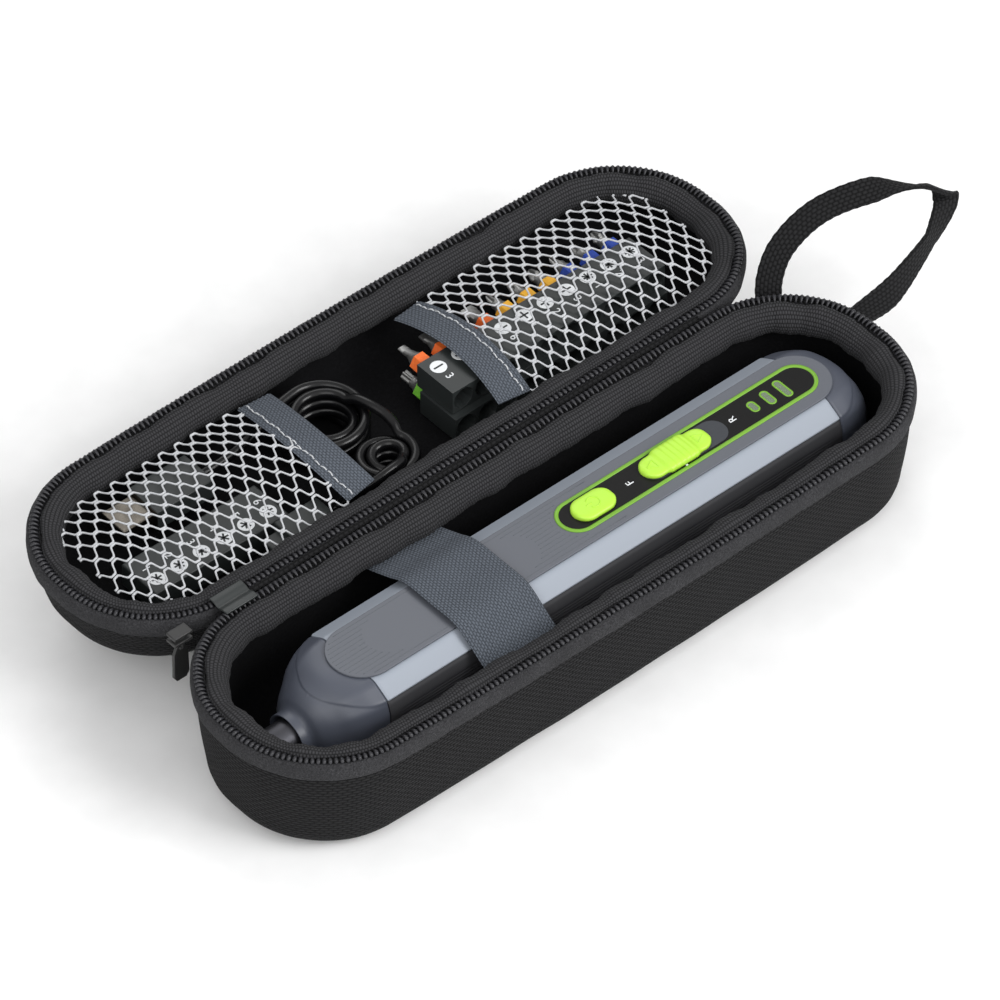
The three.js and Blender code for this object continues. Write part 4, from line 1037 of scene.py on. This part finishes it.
def coil(centre, outer, inner, start):
    """A lead wound clockwise: COIL_TURNS turns down outside, a quarter turn in, and as many up inside."""
    steps = COIL_TURNS * STEPS_PER_TURN
    quarter = STEPS_PER_TURN // 4
    step = np.arange(2 * steps + quarter + 1)
    angle = math.radians(start) - 2 * np.pi * step / STEPS_PER_TURN
    radius = outer + (inner - outer) * ease((step - steps) / quarter)
    down = np.clip(step / steps, 0, 1)
    up = np.clip((step - steps - quarter) / steps, 0, 1)
    height = COIL_TOP + (COIL_FOOT - COIL_TOP) * (down - up)
    return np.stack([centre[0] + radius * np.cos(angle), centre[1] + radius * np.sin(angle), height], axis=1)


def build_lead():
    route = np.concatenate([LEAD_START, coil(*LARGE_COIL), LEAD_MIDDLE, coil(*SMALL_COIL), LEAD_STOP])
    path = curve_through(route, 1100)
    diameter = bpy.context.scene.case_sizes.lead_diameter
    lead = piece(
        "charging_lead", tubes(path, diameter / 2, 12,
                               (0.02, 0.03, 1.0)), "lead_sheath", "lid",
        ["lead_coil_large", "lead_coil_small", "lead_tail", "lead_end", "lead_link"],
    )
    usb = softened_copy("usb_plug", "usb_plug_shell", ("black_plastic", "plated_metal"), "lid",
                        0.0004)
    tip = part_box("usb_plug")[0][0] + USB_TIP
    for face in usb.data.polygons:
        face.material_index = int(face.center.x < tip)
    plug = softened_copy("charge_plug", "charge_plug_shell", "black_plastic", "lid", 0.0004)


# ---------- tool ----------
TOOL_CORNER = 1.6 * MM
TOOL_CORNER_STEPS = 8


def whole_section():
    """The tool's closed section: the right-hand side and its mirror image, with round corners."""
    right = SECTION[::-1]
    return rounded(np.concatenate([right, right[::-1] * (-1, 1)]), TOOL_CORNER, TOOL_CORNER_STEPS)


def section_radius(angle):
    """Distance from the axis to the section at each angle from +Y."""
    line = even(np.vstack([whole_section(), whole_section()[:1]]), 1200)
    turn = np.mod(np.arctan2(line[:, 1], line[:, 0]), 2 * np.pi)
    order = np.argsort(turn)
    return np.interp(angle, turn[order], np.linalg.norm(line, axis=1)[order], period=2 * np.pi)


# distance from the seam, scale of the section, radius of the circle it turns into, share of the circle
NOSE_FORM = [(0, 1.0, 19.0, 0.0), (6, 0.99, 19.0, 0.2), (11, 0.95, 18.0, 0.5), (15, 0.88, 15.8, 0.8),
             (18, 0.8, 14.2, 1.0), (20.4, 0.7, 11.9, 1.0), (22.0, 0.62, 9.7, 1.0), (23.0, 0.6, 9.0, 1.0),
             (26, 0.6, 8.8, 1.0)]
TAIL_FORM = [(0, 1.0, 19.0, 0.0), (6, 0.985, 19.0, 0.15), (11.5, 0.92, 17.5, 0.35), (15.5, 0.8, 14.8, 0.5),
             (18, 0.6, 10.6, 0.6), (19, 0.34, 6.0, 0.6)]
BAND_CORNER = math.radians(36.3)  # angle of the band's lower edge above the level
RIDGE = 0.4 * MM
NOSE_ROWS = 130
TAIL_ROWS = 90
END_COLUMNS = 300
NOSE_RIDGE_REACH = 17.0  # how far the ridge runs from the seam, in millimetres
TAIL_RIDGE_REACH = 16.5


def end_form(form, rows, columns, ridge_reach):
    """Rings of one end: (1 - share) * scale * section + share * circle, raised above the ridge line."""
    distance, scale, circle, share = curve_through(np.array(form), rows).T
    angle = np.linspace(0, 2 * np.pi, columns, endpoint=False)
    plain = section_radius(angle)
    radius = ((1 - share) * scale)[:, None] * plain + (share * circle * MM)[:, None]
    above = np.pi / 2 - np.abs(np.pi / 2 - np.where(angle > 1.5 * np.pi, angle - 2 * np.pi, angle))
    reach = np.sqrt(np.clip(1 - (distance / ridge_reach) ** 2, 0, 1))
    ridge = np.pi / 2 - (np.pi / 2 - BAND_CORNER) * reach
    over = ease((above - ridge[:, None]) * radius / (1.1 * MM) + 0.5)
    fade = ease((ridge_reach + 1.5 - distance) / 1.5)[:, None]
    radius = radius + RIDGE * (over * fade - 0.5)
    seam = 0.35 * MM * np.exp(-((distance[:, None] * MM) / (0.35 * MM)) ** 2)
    return distance * MM, radius - seam, angle


def around_axis(x, radius, angle):
    """Rings round the tool's axis."""
    points = np.zeros(radius.shape + (3,))
    points[..., 0] = np.asarray(x)[:, None]
    points[..., 1] = AXIS_Y + radius * np.cos(angle)
    points[..., 2] = AXIS_Z + radius * np.sin(angle)
    return points


def closed_front(points):
    """The same rings with a middle point before the first and after the last."""
    first, last = (np.broadcast_to(points[i].mean(axis=0), (1,) + points.shape[1:]) for i in (0, -1))
    return np.concatenate([first, points, last])


CHUCK_RADIUS = 6.5 * MM
BORE_ACROSS = 6.6 * MM
BORE_DEPTH = 14 * MM


def build_tool_ends():
    distance, radius, angle = end_form(NOSE_FORM, NOSE_ROWS, END_COLUMNS, NOSE_RIDGE_REACH)
    rim = np.array([(25.9, 8.2), (25.5, 7.6), (23.0, 7.4), (0.0, 7.4)]) * MM
    inner = np.broadcast_to(rim[:, 1:], (len(rim), len(angle)))
    x = NOSE_HIGH[0] - SEAM - np.concatenate([distance, rim[:, 0]])
    points = around_axis(x, np.concatenate([radius, inner]), angle)
    piece("nose_moulding", patch(points, (True, True)), "grey_plastic", "tool",
          ["nose_cone"])
    distance, radius, angle = end_form(TAIL_FORM, TAIL_ROWS, END_COLUMNS, TAIL_RIDGE_REACH)
    points = around_axis(TAIL_LOW[0] + SEAM + distance, radius, angle)
    piece("tail_moulding", patch(closed_front(points), (False, True)), "grey_plastic", "tool",
          ["tail_cap"])
    low, high = (np.array(corner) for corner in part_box("bit_chuck"))
    angle = np.linspace(0, 2 * np.pi, 96, endpoint=False)
    sixth = np.pi / 3
    hexagon = BORE_ACROSS / 2 / np.cos(np.mod(angle, sixth) - sixth / 2)
    turned = np.array([(41.0, 6.3), (40.8, 6.5), (8.0, 6.5), (7.6, 6.3), (7.2, 6.3), (6.8, 6.5), (1.1, 6.5),
                       (0.4, 6.2), (0.05, 5.7), (0.0, 5.2)]) * MM
    bore = [(0.02 * MM, hexagon * 1.12), (0.5 * MM, hexagon * 1.02), (0.7 * MM, hexagon),
            (BORE_DEPTH, hexagon)]
    x = low[0] + np.concatenate([turned[:, 0], [step for step, _ in bore]])
    radius = np.concatenate([np.broadcast_to(turned[:, 1:], (len(turned), 96)), [ring for _, ring in bore]])
    points = closed_front(around_axis(x, radius, angle))
    piece("chuck_sleeve", patch(points, (False, True)), "gunmetal", "chuck", ["bit_chuck"],
          sharp=35)
    for name in ("work_light_far", "work_light_near"):
        build_work_light(name)


def build_work_light(node):
    """A clear dome in a dark round recess that leans outwards with the nose."""
    low, high = (np.array(corner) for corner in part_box(node))
    outward = unit(np.array([-0.86, 0.51 * np.sign((low + high)[1] / 2 - AXIS_Y), 0.0]))
    seat = (low + high) / 2 - 0.3 * MM * outward
    cup = np.array([(-1.5, 1.9), (0.15, 2.1), (0.4, 2.0), (0.42, 1.8), (0.1, 1.5)]) * MM
    dome = np.array([(-1.0, 1.35), (0.15, 1.4), (0.55, 1.2), (0.85, 0.75), (0.95, 0.3)]) * MM
    for name, profile, look, replaces in (("recess", cup, "black_plastic", ()),
                                          ("lens", dome, "lamp_lens", [node])):
        path = seat + profile[:, :1] * outward
        piece(f"{node}_{name}", tubes(path, profile[:, 1], 32), look, "tool", replaces)


RIB_PITCH = 1.35 * MM
RIB_HEIGHT = 0.17 * MM


def build_tool_body():
    start, stop = NOSE_HIGH[0] + SEAM, TAIL_LOW[0] - SEAM
    x = np.concatenate([np.linspace(start, start + 3 * MM, 9),
                        np.linspace(start + 6 * MM, stop - 6 * MM, 24),
                        np.linspace(stop - 3 * MM, stop, 9)])
    path = np.stack([x, np.full(len(x), AXIS_Y), np.full(len(x), AXIS_Z)], axis=1)
    to_end = np.minimum(x - start, stop - x)
    rounding = 1 - 0.012 * (1 - ease(to_end / (0.8 * MM)))[:, None, None]
    band = [(-18.9, 14.0), (-19.35, 14.5), (-12.7, 18.45), (12.7, 18.45), (19.35, 14.5), (18.9, 14.0),
            (14.0, 15.5),
            (-14.0, 15.5)]
    band = even(rounded(np.array(band) * MM, 0.9 * MM, 6), 140, closed=True)
    piece("silver_band", swept(path, (0, 1, 0), band * rounding), "silver_paint", "tool",
          ["upper_housing"], sharp=50)
    lower = np.concatenate([SECTION[:0:-1], SECTION[1:] * (-1, 1)])
    lower[lower[:, 1] > 14.0 * MM] -= (0.0, 0.45 * MM)
    outline = rounded(lower, TOOL_CORNER, TOOL_CORNER_STEPS)
    line = even(np.vstack([outline, outline[:1]]), 900, closed=True)
    tangent = unit(np.roll(line, -1, 0) - np.roll(line, 1, 0))
    normal = np.stack([tangent[:, 1], -tangent[:, 0]], axis=1)
    normal *= np.sign((normal * line).sum())
    side = ease((9.5 * MM - line[:, 1]) / (1.5 * MM)) * ease((line[:, 1] + 13 * MM) / (2 * MM))
    ribs = RIB_HEIGHT * side * (np.cos(2 * np.pi * line[:, 1] / RIB_PITCH) - 1)
    along = ease((to_end - 5 * MM) / (2 * MM))[:, None]
    section = line + (along * ribs)[..., None] * normal
    piece("black_grips", swept(path, (0, 1, 0), section * rounding), "grip_rubber", "tool",
          ["lower_housing"], sharp=55)


INLAY_TOP = 42.75 * MM
PANEL_TOP = 42.95 * MM


def plate(foot, top, edge):
    """Side and top profile of a thin plate with a rounded upper edge, as [inset, z]."""
    turn = np.linspace(0, np.pi / 2, 5)
    corner = np.stack([edge * (1 - np.cos(turn)), top - edge * (1 - np.sin(turn))], axis=1)
    return np.vstack([[(0.0, foot)], corner, [(2 * edge, top)]])


def box_middle(node):
    """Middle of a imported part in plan, and its half length and half width."""
    low, high = (np.array(corner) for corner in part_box(node))
    middle = np.append((low + high)[:2] / 2, 0.0)
    return middle, *((high - low)[:2] / 2)


LINE_PITCH = 1.72 * MM
LINE_REACH = 10.6 * MM
PLAIN_HALF_WIDTH = 8.7 * MM
SWITCH_RECESS_EXTRA = 7.4 * MM  # how much longer the recess is than the key


def inlay_lines(centre, half_length, ring_left):
    """Engraved lines, drawn as thin light tubes whose colour is a painted highlight on the groove edges:
    short ones stop at a plain area with round ends, long ones run past it.
    """
    lines = []
    first_plain, last_plain = centre[0] - half_length + 14.5 * MM, ring_left - 10.5 * MM
    for y in np.arange(-6, 7) * LINE_PITCH:
        nose = centre[0] - half_length + 12 * MM - math.sqrt((10.9 * MM) ** 2 - min(abs(y), LINE_REACH) ** 2)
        panel = ring_left + 7.8 * MM - math.sqrt(max((9.0 * MM) ** 2 - y * y, 0.0))
        if abs(y) > PLAIN_HALF_WIDTH:
            lines.append((nose, panel + 12 * MM, y))
            continue
        round_end = PLAIN_HALF_WIDTH * (1 - math.sqrt(1 - (y / PLAIN_HALF_WIDTH) ** 2))
        lines.append((nose, first_plain + round_end, y))
        lines.append((last_plain - round_end, panel, y))
    ends = np.array(lines)
    share = np.linspace(0, 1, 24)
    paths = np.zeros((len(ends), 24, 3))
    paths[..., 0] = ends[:, :1] + (ends[:, 1:2] - ends[:, :1]) * share
    paths[..., 1] = ends[:, 2:] + centre[1]
    paths[..., 2] = INLAY_TOP
    return tubes(paths, 0.11 * MM, 6)


def build_tool_top():
    centre, length, width = box_middle("top_inlay")
    profile = plate(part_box("top_inlay")[0][2], INLAY_TOP, 0.3 * MM)
    piece("inlay_plate", rounded_oblong(centre, length, width, width * 0.999, profile, 320), "inlay_plastic",
          "tool", ["top_inlay"], sharp=40)
    ring_centre, ring_length, ring_width = box_middle("panel_ring")
    # the engraved lines are thin light tubes: painted highlights on the edges of the grooves
    piece("inlay_lines", inlay_lines(centre, length, ring_centre[0] - ring_length), "engraved_line", "tool")
    trim = 0.2 * MM
    ring = np.array([(0, -0.5), (0, 0.02), (0.12, 0.16), (0.7, 0.2), (1.25, 0.16), (1.4, 0.0),
                     (1.4, -0.5)]) * MM
    ring = ring + (trim, PANEL_TOP)
    outline = (ring_length, ring_width, ring_width * 0.999)
    piece("panel_line", oblong_band(ring_centre, *outline, ring, 320), "ring_paint", "tool",
          ["panel_ring"])
    panel = plate(42.2 * MM, PANEL_TOP, 0.1 * MM) + (1.5 * MM, 0.0)
    piece("panel_plate", rounded_oblong(ring_centre, *outline, panel, 320), "panel_plastic", "tool",
          ["control_panel"], sharp=40)
    for number in (1, 2, 3):
        build_window(f"battery_window_{number}")
    switch_centre, switch_length, _ = box_middle("direction_switch")
    travel = SWITCH_RECESS_EXTRA
    recess = plate(42.5 * MM, PANEL_TOP + 0.06 * MM, 0.05 * MM)
    recess_centre = switch_centre + (travel / 2, 0.0, 0.0)
    piece("switch_recess", rounded_oblong(recess_centre, switch_length + travel / 2, 5.3 * MM, 5.29 * MM,
                                          recess, 160),
          "recess_plastic", "tool", sharp=40)
    ink = PANEL_TOP + 0.1 * MM
    letters = [("F", (switch_centre[0] - switch_length - 5.2 * MM, AXIS_Y, ink), (0, 1, 0), (-1, 0, 0),
                3.9 * MM),
               ("R", (switch_centre[0] + switch_length + travel + 3.6 * MM, AXIS_Y, ink), (0, 1, 0),
                (-1, 0, 0),
                3.9 * MM)]
    text_piece("direction_letters", letters, "legend_ink", "tool")
    marks = [bar(switch_centre + (0.0, side * 6.1 * MM, ink), 0.42 * MM, 0.4 * MM,
                 math.pi / 2) for side in (-1, 1)]
    piece("neutral_marks", marks, "legend_ink", "tool")


def build_window(node):
    centre, across, reach = box_middle(node)
    rim = np.array([(-0.5, -0.4), (-0.5, 0.05), (-0.35, 0.14), (0.1, 0.14), (0.2, 0.05), (0.2, -0.4)]) * MM
    outline = (across, reach, across * 0.999)
    piece(f"{node}_rim", oblong_band(centre, *outline, rim + (0, PANEL_TOP), 96), "ring_paint", "tool")
    lens = plate(42.3 * MM, PANEL_TOP + 0.05 * MM, 0.1 * MM) + (0.15 * MM, 0.0)
    points = inset_rings(centre, outline, lens, 96)
    spine = points[:, -1].copy()
    spine[:, 0] = centre[0]
    spine[:, 1] = np.clip(spine[:, 1], centre[1] - reach + across, centre[1] + reach - across)
    floor = points[:, 0].copy()
    floor[:, :2] = spine[:, :2]
    points = np.concatenate([floor[:, None], points, spine[:, None]], axis=1)
    piece(f"{node}_lens", patch(points, (True, False)), "window_lens", "tool", [node])


def raised_form(x, half_width, height, foot, columns=64):
    """A long form with a flat underside: each row is a superellipse of that half width and height."""
    angle = np.linspace(0, np.pi, columns)
    across = np.sign(np.cos(angle)) * np.abs(np.cos(angle)) ** 0.55
    lift = np.sin(angle) ** 0.42
    points = np.zeros((len(x), columns, 3))
    points[..., 0] = x[:, None]
    points[..., 1] = AXIS_Y + half_width[:, None] * across
    points[..., 2] = foot + height[:, None] * lift
    return patch(closed_front(points), (False, True))


def build_controls():
    low, high = (np.array(corner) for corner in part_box("power_button"))
    share = np.linspace(-1, 1, 90)
    share = np.sin(share * np.pi / 2)
    middle, reach, width = (low[0] + high[0]) / 2, (high[0] - low[0]) / 2, (high[1] - low[1]) / 2
    x = middle + reach * share
    inner = reach - width
    half_width = width * np.sqrt(np.clip(1 - (np.clip(np.abs(x - middle) - inner, 0, None) / width) ** 2, 0,
                                         1))
    foot = PANEL_TOP + 0.02 * MM
    height = (high[2] - foot) * np.clip(1 - np.abs(share) ** 14, 0.02, 1) ** 0.5
    forms = [raised_form(x, half_width, height, foot)]
    forms += power_symbol(np.array([middle, AXIS_Y, high[2]]))
    piece("power_key", forms, "lime_plastic", "power_button", ["power_button"])
    build_switch()


def power_symbol(centre):
    """An open ring with a bar in its gap, raised a little."""
    turn = np.linspace(math.radians(40), math.radians(320), 40)
    arc = centre + 2.3 * MM * np.stack([-np.cos(turn), np.sin(turn), np.zeros(40)], axis=1)
    stem = centre + np.linspace(-2.9, -0.6, 8)[:, None] * MM * np.array([1.0, 0.0, 0.0])
    return [tubes(line, 0.22 * MM, 8) for line in (arc, stem)]


KEY_HALF_WIDTH = 4.9 * MM


def build_switch():
    low, high = (np.array(corner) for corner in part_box("direction_switch"))
    middle, reach = (low[0] + high[0]) / 2, (high[0] - low[0]) / 2
    share = np.sin(np.linspace(-1, 1, 200) * np.pi / 2)
    x = middle + reach * share
    along = np.abs(x - middle) / MM
    saddle = ease((7.6 - along) / 2.4)
    round_end = np.clip(np.abs(x - middle) - (reach - KEY_HALF_WIDTH), 0, None) / KEY_HALF_WIDTH
    half_width = KEY_HALF_WIDTH * np.sqrt(np.clip(1 - round_end**2, 0, 1)) + 0.75 * MM * saddle
    ridges = 0.11 * np.cos(2 * np.pi * along / 2.1) * ease((6.6 - along) / 0.8)
    dished = 0.4 * np.cos(np.pi * np.clip(along - 6.0, 0, 7) / 3.5) * ease((along - 5.5) / 1.5)
    ends = np.clip(1 - np.abs(share) ** 16, 0.02, 1) ** 0.5
    height = (1.75 + 0.75 * saddle + ridges + 0.3 * dished) * MM * ends
    foot = PANEL_TOP + 0.1 * MM
    forms = [raised_form(x, half_width, height, foot)]
    for side in (-1, 1):
        tip = middle + side * (reach - 2.2 * MM)
        back = tip - side * 3.6 * MM
        corners = np.array([(tip, 0.0), (back, 2.0 * MM), (back, -2.0 * MM)])
        line = even(np.vstack([corners, corners[:1]]), 42)
        top = foot + np.interp(line[:, 0], x, height)
        forms.append(tubes(np.column_stack([line[:, 0], line[:, 1] + AXIS_Y, top]), 0.17 * MM, 6))
    piece("direction_slider", forms, "lime_plastic", "direction_switch",
          ["direction_switch"])


INNER_FINISHES = {"gearbox": "gear_case", "motor": "motor_steel", "battery_cell": "cell_wrap",
                  "circuit_board": "board_green", "charge_socket": "plated_metal"}


def dress_inner_nodes():
    for node, look in INNER_FINISHES.items():
        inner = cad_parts[node]
        inner.data.materials.clear()
        inner.data.materials.append(finish(look))


# ---------- camera, light and floor ----------
CAMERA_AZIMUTH = math.radians(-41)
CAMERA_ELEVATION = math.radians(45)
CAMERA_DISTANCE = 2.6
CAMERA_TARGET = (-0.0374, -0.0255, 0.0506)
LENS = 290.2


def place_camera():
    level = math.cos(CAMERA_ELEVATION)
    back = Vector((
        math.sin(CAMERA_AZIMUTH) * level, -math.cos(CAMERA_AZIMUTH) * level, math.sin(CAMERA_ELEVATION)
    ))
    data = bpy.data.cameras.new("camera")
    data.lens = LENS
    data.clip_end = 50.0
    camera = bpy.data.objects.new("camera", data)
    camera.location = Vector(CAMERA_TARGET) + CAMERA_DISTANCE * back
    camera.rotation_euler = back.to_track_quat("Z", "Y").to_euler()
    bpy.context.scene.collection.objects.link(camera)
    bpy.context.scene.camera = camera


# name, place, size, watts
LAMPS = [("key_light", (0.55, -1.25, 1.05), 0.9, 17.0), ("fill_light", (-1.2, -0.5, 1.0), 1.2, 7.0),
         ("back_light", (0.5, 1.1, 1.2), 0.9, 4.5)]


SKY_FRONT = (-0.25, -0.72, 0.65)  # where the studio is brightest
SKY_DIM = 0.10
SKY_BRIGHT = 1.05
FLOOR_HALF_SIZE = 6.0
FLOOR_POINTS = 30
FLOOR_GAP = 0.0002  # keeps the floor just under the case


def build_stage():
    for name, place, size, watts in LAMPS:
        data = bpy.data.lights.new(name, "AREA")
        data.size = size
        data.energy = watts
        lamp = bpy.data.objects.new(name, data)
        lamp.location = place
        lamp.rotation_euler = Vector(place).to_track_quat("Z", "Y").to_euler()
        bpy.context.scene.collection.objects.link(lamp)
    world = bpy.data.worlds.new("studio")
    world.use_nodes = True
    tree = world.node_tree
    ray = tree.nodes.new("ShaderNodeTexCoord").outputs["Generated"]
    facing = tree.nodes.new("ShaderNodeVectorMath")
    facing.operation = "DOT_PRODUCT"
    facing.inputs[1].default_value = SKY_FRONT
    tree.links.new(ray, facing.inputs[0])
    glow = tree.nodes.new("ShaderNodeMapRange")
    for name, value in (("From Min", -0.6), ("From Max", 1.0), ("To Min", SKY_DIM), ("To Max", SKY_BRIGHT)):
        glow.inputs[name].default_value = value
    tree.links.new(facing.outputs["Value"], glow.inputs["Value"])
    tree.links.new(glow.outputs[0], tree.nodes["Background"].inputs["Strength"])
    tree.nodes["Background"].inputs["Color"].default_value = (1.0, 1.0, 1.0, 1.0)
    bpy.context.scene.world = world
    bpy.context.scene.view_settings.view_transform = "Standard"
    across = np.linspace(-FLOOR_HALF_SIZE, FLOOR_HALF_SIZE, FLOOR_POINTS)
    x, y = np.meshgrid(across, across, indexing="ij")
    level = np.full(x.shape, CAD_BOUNDS[0][2] - FLOOR_GAP)
    points = np.stack([x, y, level], axis=-1)
    grid = patch(points)
    mesh = bpy.data.meshes.new("studio_floor")
    mesh.from_pydata(grid["points"].tolist(), [], grid["faces"].tolist())
    mesh.materials.append(finish("studio_floor"))
    floor = bpy.data.objects.new("studio_floor", mesh)
    bpy.context.scene.collection.objects.link(floor)


# ---------- operators ----------
class CASE_OT_camera(bpy.types.Operator):
    """Places the camera"""

    bl_idname = "case.camera"
    bl_label = "Camera"

    def execute(self, context):
        place_camera()
        return {"FINISHED"}


class CASE_OT_lead(bpy.types.Operator):
    """Builds the charging lead with its two plugs"""

    bl_idname = "case.lead"
    bl_label = "Charging lead"

    def execute(self, context):
        build_lead()
        return {"FINISHED"}


class CASE_OT_shells(bpy.types.Operator):
    """Builds the moulded shells of both case halves with their lining"""

    bl_idname = "case.shells"
    bl_label = "Shells"

    def execute(self, context):
        for half in HALVES:
            build_shell(half)
        return {"FINISHED"}


class CASE_OT_zips(bpy.types.Operator):
    """Builds the zip bands, ribbons and coils of both case halves"""

    bl_idname = "case.zips"
    bl_label = "Zips"

    def execute(self, context):
        for half in HALVES:
            build_zip(half)
        return {"FINISHED"}


class CASE_OT_collars(bpy.types.Operator):
    """Builds the padded collars inside both rims"""

    bl_idname = "case.collars"
    bl_label = "Padded collars"

    def execute(self, context):
        for half in HALVES:
            build_collar(half)
        return {"FINISHED"}


class CASE_OT_hinge(bpy.types.Operator):
    """Builds the fabric hinge with its end cover, and the zip slider"""

    bl_idname = "case.hinge"
    bl_label = "Hinge and slider"

    def execute(self, context):
        build_hinge()
        return {"FINISHED"}


class CASE_OT_straps(bpy.types.Operator):
    """Builds the carry loop and the elastic strap over the tool"""

    bl_idname = "case.straps"
    bl_label = "Straps"

    def execute(self, context):
        build_carry_loop()
        build_tool_strap()
        return {"FINISHED"}


class CASE_OT_pockets(bpy.types.Operator):
    """Builds the net pockets with their elastic edges"""

    bl_idname = "case.pockets"
    bl_label = "Net pockets"

    def execute(self, context):
        for name in ("left", "right"):
            build_pocket(Pocket(name))
        return {"FINISHED"}


class CASE_OT_bits(bpy.types.Operator):
    """Builds the bit rails with their marks, and the twelve bits"""

    bl_idname = "case.bits"
    bl_label = "Bits and rails"

    def execute(self, context):
        build_rails()
        for label in BIT_KINDS:
            build_bit(label)
        return {"FINISHED"}


class CASE_OT_tool_body(bpy.types.Operator):
    """Builds the tool's body, nose, tail, chuck and work lights"""

    bl_idname = "case.tool_body"
    bl_label = "Tool body"

    def execute(self, context):
        build_tool_body()
        build_tool_ends()
        return {"FINISHED"}


class CASE_OT_tool_top(bpy.types.Operator):
    """Builds the inlay, control panel, windows and legends on top of the tool"""

    bl_idname = "case.tool_top"
    bl_label = "Tool top"

    def execute(self, context):
        build_tool_top()
        return {"FINISHED"}


class CASE_OT_controls(bpy.types.Operator):
    """Builds the power button and the direction switch"""

    bl_idname = "case.controls"
    bl_label = "Button and switch"

    def execute(self, context):
        build_controls()
        return {"FINISHED"}


class CASE_OT_inner_parts(bpy.types.Operator):
    """Gives the parts inside the tool their finishes"""

    bl_idname = "case.inner_parts"
    bl_label = "Inner parts"

    def execute(self, context):
        dress_inner_nodes()
        return {"FINISHED"}


class CASE_OT_stage(bpy.types.Operator):
    """Sets the floor and the lights"""

    bl_idname = "case.stage"
    bl_label = "Stage"

    def execute(self, context):
        build_stage()
        return {"FINISHED"}


STEPS = (
    CASE_OT_camera,
    CASE_OT_lead,
    CASE_OT_shells,
    CASE_OT_zips,
    CASE_OT_collars,
    CASE_OT_hinge,
    CASE_OT_straps,
    CASE_OT_pockets,
    CASE_OT_bits,
    CASE_OT_tool_body,
    CASE_OT_tool_top,
    CASE_OT_controls,
    CASE_OT_inner_parts,
    CASE_OT_stage,
)


class CASE_PT_panel(bpy.types.Panel):
    """Lists the settings and the build steps"""

    bl_idname = "CASE_PT_panel"
    bl_label = "Screwdriver Case"
    bl_space_type = "VIEW_3D"
    bl_region_type = "UI"
    bl_category = "Screwdriver Case"

    def draw(self, context):
        for settings in (context.scene.case_sizes, context.scene.case_colours):
            for name in settings.__annotations__:
                self.layout.prop(settings, name)
        for step in STEPS:
            self.layout.operator(step.bl_idname)


CLASSES = (CaseSizes, CaseColours) + STEPS + (CASE_PT_panel,)


def register():
    for made in CLASSES:
        bpy.utils.register_class(made)
    bpy.types.Scene.case_sizes = PointerProperty(type=CaseSizes)
    bpy.types.Scene.case_colours = PointerProperty(type=CaseColours)


def unregister():
    del bpy.types.Scene.case_colours
    del bpy.types.Scene.case_sizes
    for made in reversed(CLASSES):
        bpy.utils.unregister_class(made)


def main():
    register()
    for step in STEPS:
        group, name = step.bl_idname.split(".")
        result = getattr(getattr(bpy.ops, group), name)()
        if result != {"FINISHED"}:
            raise RuntimeError(f"{step.bl_label} did not finish")


if __name__ == "__main__":
    main()
